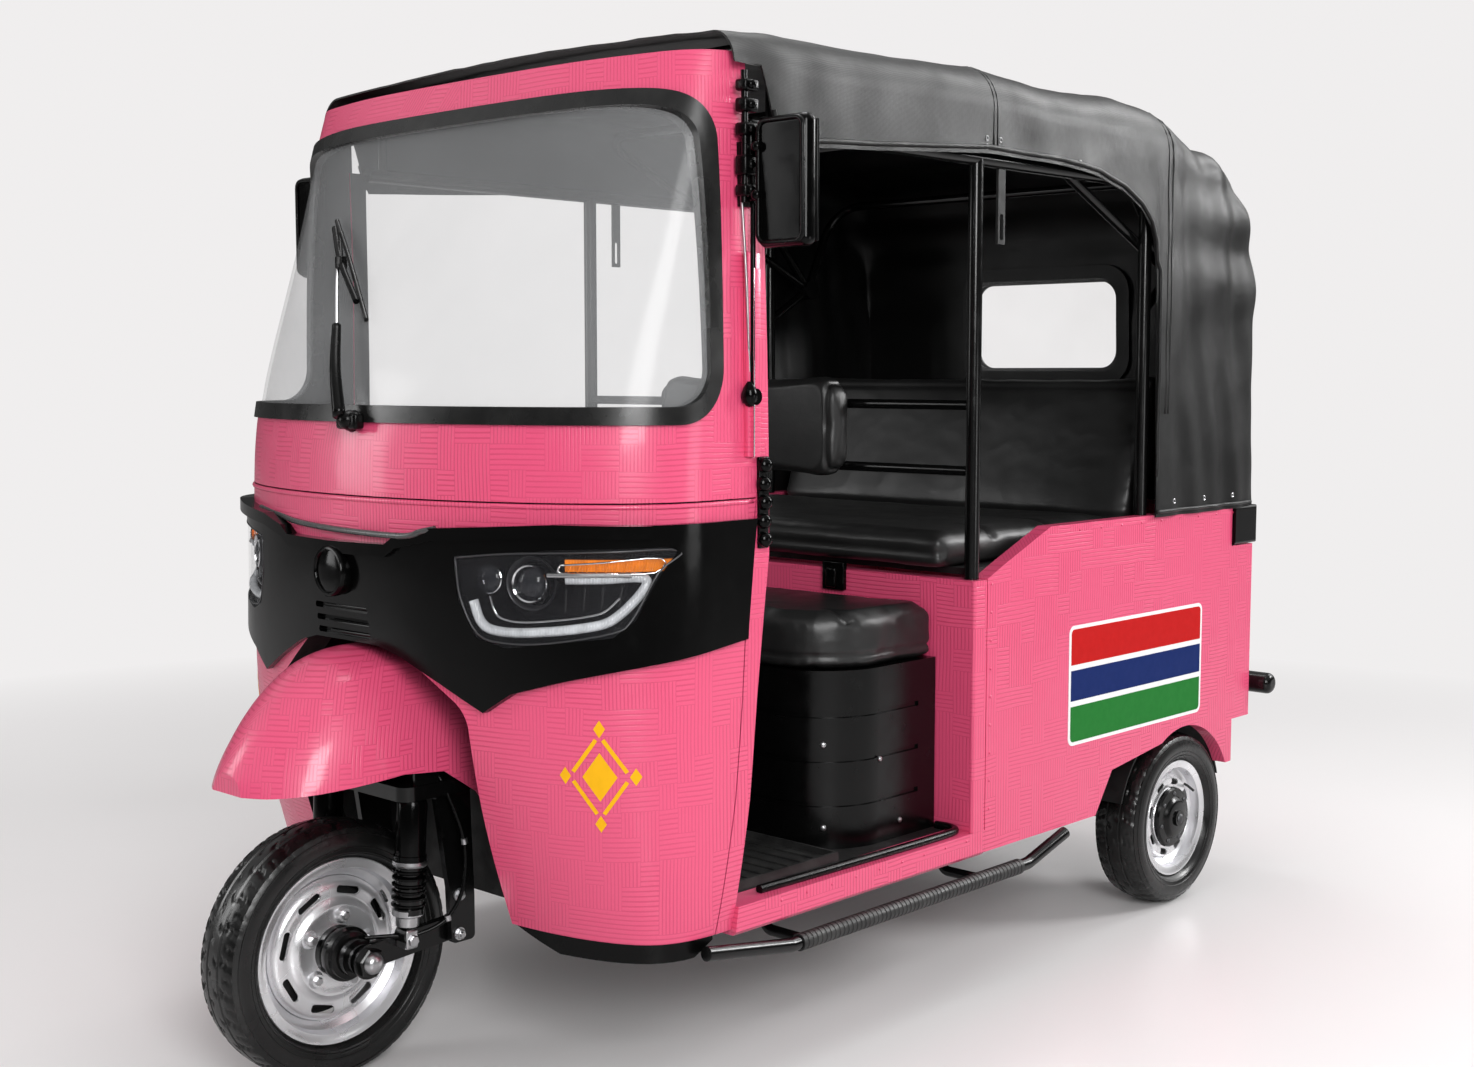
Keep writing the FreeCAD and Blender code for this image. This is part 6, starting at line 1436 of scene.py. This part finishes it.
def make_fork_trim():
    washer = [(0.0, 0.0), (0.0, 0.0125), (0.002, 0.012), (0.002, 0.0)]
    thread = [(0.006, 0.0052), (0.013, 0.0050), (0.0135, 0.0)]
    pieces = []
    for side in side_names:
        for z in (0.238, 0.311):
            spot, normal = on_surface("front_fork", at(side * 0.3, 0.198, z), (-side, 0.0, 0.0))
            pieces += [lathe(washer, spot, normal, steel, 24),
                       hex_nut(spot + normal * 0.002, normal, 0.0095, 0.007, steel),
                       lathe(thread, spot, normal, steel, 16)]
    joined("fork_bolts", pieces, "shaft_steel", "steering")
    route = [(0.120, 0.150, 0.560), (0.150, 0.165, 0.500), (0.166, 0.185, 0.420), (0.168, 0.180, 0.340),
             (0.160, 0.150, 0.285), (0.140, 0.100, 0.262), (0.112, 0.055, 0.262), (0.090, 0.020, 0.262)]
    line = sideways(1, route)
    clip = [(-0.005, 0.0062), (0.005, 0.0062), (0.005, 0.003), (-0.005, 0.003)]
    clips = [lathe(clip, line[k], (0.0, 0.2, -1.0), steel, 16, closed=True) for k in (2, 4)]
    joined("brake_line", [tube(line, 0.0038, satin_black, 8, 8)] + clips, "rubber_black", "steering")
    hub_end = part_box("front_links")[1].x - 0.034
    housing = [(0.052, 0.014), (0.052, 0.047), (0.056, 0.049), (0.066, 0.049), (0.069, 0.044), (0.078, 0.042),
               (0.080, 0.034), (hub_end, 0.033), (hub_end, 0.014)]
    brake = lathe(housing, at(0.0, 0.0, axle_z), (1, 0, 0), frame_black, 48, closed=True, degrees=30.0)
    joined("brake_housing", [brake], "black_steel", "steering")


for side in side_names:
    make_damper_trim(side)
make_fork_trim()


# Hood trim: welts, hems, eyelets and the border of the rear window

hood_tree = surface_tree(hood_piece)


def on_hood(origin, way, lift=0.0):
    """The point where a line meets the hood from outside, if it does."""
    hit, normal, _, _ = hood_tree.ray_cast(origin, Vector(way))
    if hit is None:
        return None
    return hit + normal * (-lift if normal.dot(Vector(way)) > 0 else lift)


def sewn_line(spots, radius):
    return pipe([spot for spot in spots if spot], radius, 8, hood)


def welt(place, radius, low_angle):
    """A sewn welt over the hood from side to side at one place."""
    middle = at(0.0, place, 1.30)
    turns = [math.radians(low_angle + (180.0 - 2.0 * low_angle) * k / 90) for k in range(91)]
    ways = [Vector((math.cos(turn), 0.0, math.sin(turn))) for turn in turns]
    return sewn_line([on_hood(middle + way * 2.0, -way, -0.0006) for way in ways], radius)


def make_welts():
    pieces = [welt(place, 0.0022, 20.0) for place in (1.172, 1.184)]
    pieces += [welt(place, 0.0026, -12.0) for place in (1.850, 1.866)]
    above_hem = 0.012
    side_hem_line = []
    for (y0, z0), (y1, z1) in pairwise(hood_side_edge[2:]):
        steps = max(2, int(math.dist((y0, z0), (y1, z1)) / 0.02))
        for share in (k / steps for k in range(steps)):
            y, z = y0 + (y1 - y0) * share, z0 + (z1 - z0) * share
            side_hem_line.append((2.0, y + 0.012 if y > 1.80 and z < 1.5 else y, z + above_hem))
    rear_hem_line = [(2.0, 1.82 + (2.285 - 1.82) * k / 39, hood_hem + above_hem) for k in range(40)]
    for side in side_names:
        for line, lift, radius in ((side_hem_line, 0.0012, 0.0048), (rear_hem_line, 0.001, 0.0045)):
            spots = [on_hood(point, -outwards(side), lift) for point in sideways(side, line)]
            pieces.append(sewn_line(spots, radius))
    joined("hood_welts", pieces, "hood_fabric")


def make_eyelets():
    ring = [(-0.001, 0.0062), (0.0012, 0.0058), (0.0020, 0.0045), (0.0012, 0.0028), (-0.001, 0.0028)]
    places = [(1.150, 1.722), (1.150, 1.706), (1.195, 1.722), (2.0425, 0.969), (1.90, 0.969), (2.18, 0.969),
              (0.640, 1.690), (1.480, 1.702)]
    pieces = []
    for side in side_names:
        spots = [on_hood(at(side * 2.0, y, z), -outwards(side)) for y, z in places]
        pieces += [lathe(ring, spot, outwards(side), steel, 20, closed=True) for spot in spots if spot]
    joined("hood_eyelets", pieces, "shaft_steel")


def make_window_border():
    """Sewn border with rounded corners on both sides of the rear window."""
    low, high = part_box("rear_window")
    inner = rounded_rectangle(low.x + 0.008, high.x - 0.008, low.z + 0.008, high.z - 0.008, 0.045, 8)
    outer = rounded_rectangle(low.x - 0.030, high.x + 0.030, low.z - 0.034, high.z + 0.034, 0.070, 8)
    foot, head = (on_hood(at(0.0, 4.0, z), (0.0, -1.0, 0.0)).y for z in (low.z - 0.02, high.z + 0.03))
    count, thick = len(inner), 0.006
    pieces = []
    for depth in (-0.014, 0.010):
        verts = []
        for x, z in inner + outer:
            share = (z - (low.z - 0.02)) / (high.z + 0.05 - low.z)
            verts.append((x, foot + (head - foot) * share + depth, z))
        verts += [(x, y + thick, z) for x, y, z in verts]
        faces = []
        for k in range(count):
            j = (k + 1) % count
            faces += [(k, count + k, count + j, j),
                      (2 * count + k, 2 * count + j, 3 * count + j, 3 * count + k),
                      (k, j, 2 * count + j, 2 * count + k),
                      (count + k, 3 * count + k, 3 * count + j, count + j)]
        pieces.append(sharpen(mesh_piece("border", verts, faces, hood), 40.0))
    joined("rear_window_border", pieces, "hood_fabric")


make_welts()
make_eyelets()
make_window_border()


# Floor, backdrop and light

backdrop = (0.87, 0.855, 0.855, 1.0)


def floor_material():
    """Pale floor that keeps the shadow and fades into the background's tone with distance."""
    n = material_nodes("studio_floor")
    x, y, z = n.xyz
    far = n.spread(n.math("SQRT", n.plus(n.times(x, x), n.times(y, y))), 2.2, 4.6)
    glow = n.add("ShaderNodeEmission", {"Color": backdrop, "Strength": 1.0})
    path = n.add("ShaderNodeLightPath", {}).outputs
    seen = n.math("MAXIMUM", path["Is Camera Ray"], path["Is Transmission Ray"])
    mixed = n.add("ShaderNodeMixShader", {0: n.times(far, seen), 1: n.shader.outputs[0], 2: glow.outputs[0]})
    n.put(n.tree.nodes["Material Output"].inputs["Surface"], mixed.outputs[0])
    plain = n.mix(n.noise(1.5), (0.85, 0.836, 0.836), (0.87, 0.856, 0.856))
    return n.set(Base_Color=n.mix(seen, (0.60, 0.595, 0.595), plain), Roughness=0.32, Specular_IOR_Level=0.35)


def make_floor():
    size = 30.0
    corners = [(-size, -size, 0), (size, -size, 0), (size, size, 0), (-size, size, 0)]
    mesh_piece("studio_floor", corners, [(0, 1, 2, 3)], floor_material(), smooth=False)


def make_world():
    """Even pale surroundings for the camera, soft light for dull faces and a dark horizon for glossy ones."""
    world = bpy.data.worlds.new("studio")
    bpy.context.scene.world = world
    n = Nodes(world)
    n.tree.nodes.clear()
    lit = n.add("ShaderNodeBackground", {"Color": (1.0, 0.985, 0.985, 1.0), "Strength": 0.50})
    seen = n.add("ShaderNodeBackground", {"Color": backdrop})
    direction = n.add("ShaderNodeTexCoord", {}).outputs["Generated"]
    height = n.add("ShaderNodeSeparateXYZ", {0: direction}).outputs[2]
    stops = [(0.0, 0.10), (0.12, 0.05), (0.34, 0.09), (0.52, 0.62), (0.70, 0.30), (0.92, 0.75)]
    glow_way = Vector((0.22, 0.83, 0.52)).normalized()
    towards = n.add("ShaderNodeVectorMath", {0: direction, 1: glow_way}, operation="DOT_PRODUCT")
    glow = n.spread(towards.outputs["Value"], 0.89, 0.975, 0.0, 2.0)
    summed = n.add("ShaderNodeMixRGB", {0: 1.0, 1: n.ramp(height, stops), 2: glow}, blend_type="ADD")
    shine = n.add("ShaderNodeBackground", {"Color": summed.outputs[0]})
    path = n.add("ShaderNodeLightPath", {}).outputs
    parts = {0: path["Is Glossy Ray"], 1: lit.outputs[0], 2: shine.outputs[0]}
    unseen = n.add("ShaderNodeMixShader", parts).outputs[0]
    either = n.math("MAXIMUM", path["Is Camera Ray"], path["Is Transmission Ray"])
    both = n.add("ShaderNodeMixShader", {0: either, 1: unseen, 2: seen.outputs[0]}).outputs[0]
    n.add("ShaderNodeOutputWorld", {"Surface": both})


def placed(name, data, location, rotation):
    obj = bpy.data.objects.new(name, data)
    bpy.context.scene.collection.objects.link(obj)
    obj.location = location
    obj.rotation_euler = rotation
    return obj


def make_lights():
    middle = (0.0, 0.0, 0.9)
    # Name, place, target, size and power in watts
    for name, place, target, size, power in (
        ("key", (4.3, -3.1, 2.7), middle, (1.6, 2.2), 168.0),
        ("side", (3.0, 3.8, 2.7), (0.3, -0.2, 1.5), (1.3, 0.9), 100.0),
        ("top", (-0.4, 0.4, 4.8), middle, (1.8, 3.4), 85.0),
        ("rear_sheen", (1.5, 4.2, 4.4), (0.2, 0.2, 1.8), (1.3, 1.8), 40.0),
        ("far_fill", (-3.6, -4.2, 2.2), middle, (1.4, 2.6), 60.0),
        ("inside", (2.6, 0.3, 1.0), (-0.6, 0.7, 1.5), (0.6, 0.6), 4.0),
    ):
        data = bpy.data.lights.new(name, "AREA")
        data.shape = "RECTANGLE"
        data.size, data.size_y = size
        data.energy = power
        way = Vector(target) - Vector(place)
        placed(name, data, place, way.to_track_quat("-Z", "Y").to_euler())


def make_camera():
    """The camera solved from the photograph."""
    data = bpy.data.cameras.new("camera")
    data.sensor_width = 36.0
    data.lens = 43.85
    tilt, heading = math.radians(90.0 - 5.0851), math.radians(43.3669)
    bpy.context.scene.camera = placed("camera", data, (2.7104, -2.8626, 1.2612), (tilt, 0.0, heading))


make_floor()
make_world()
make_lights()
make_camera()
bpy.context.scene.view_settings.view_transform = "Standard"
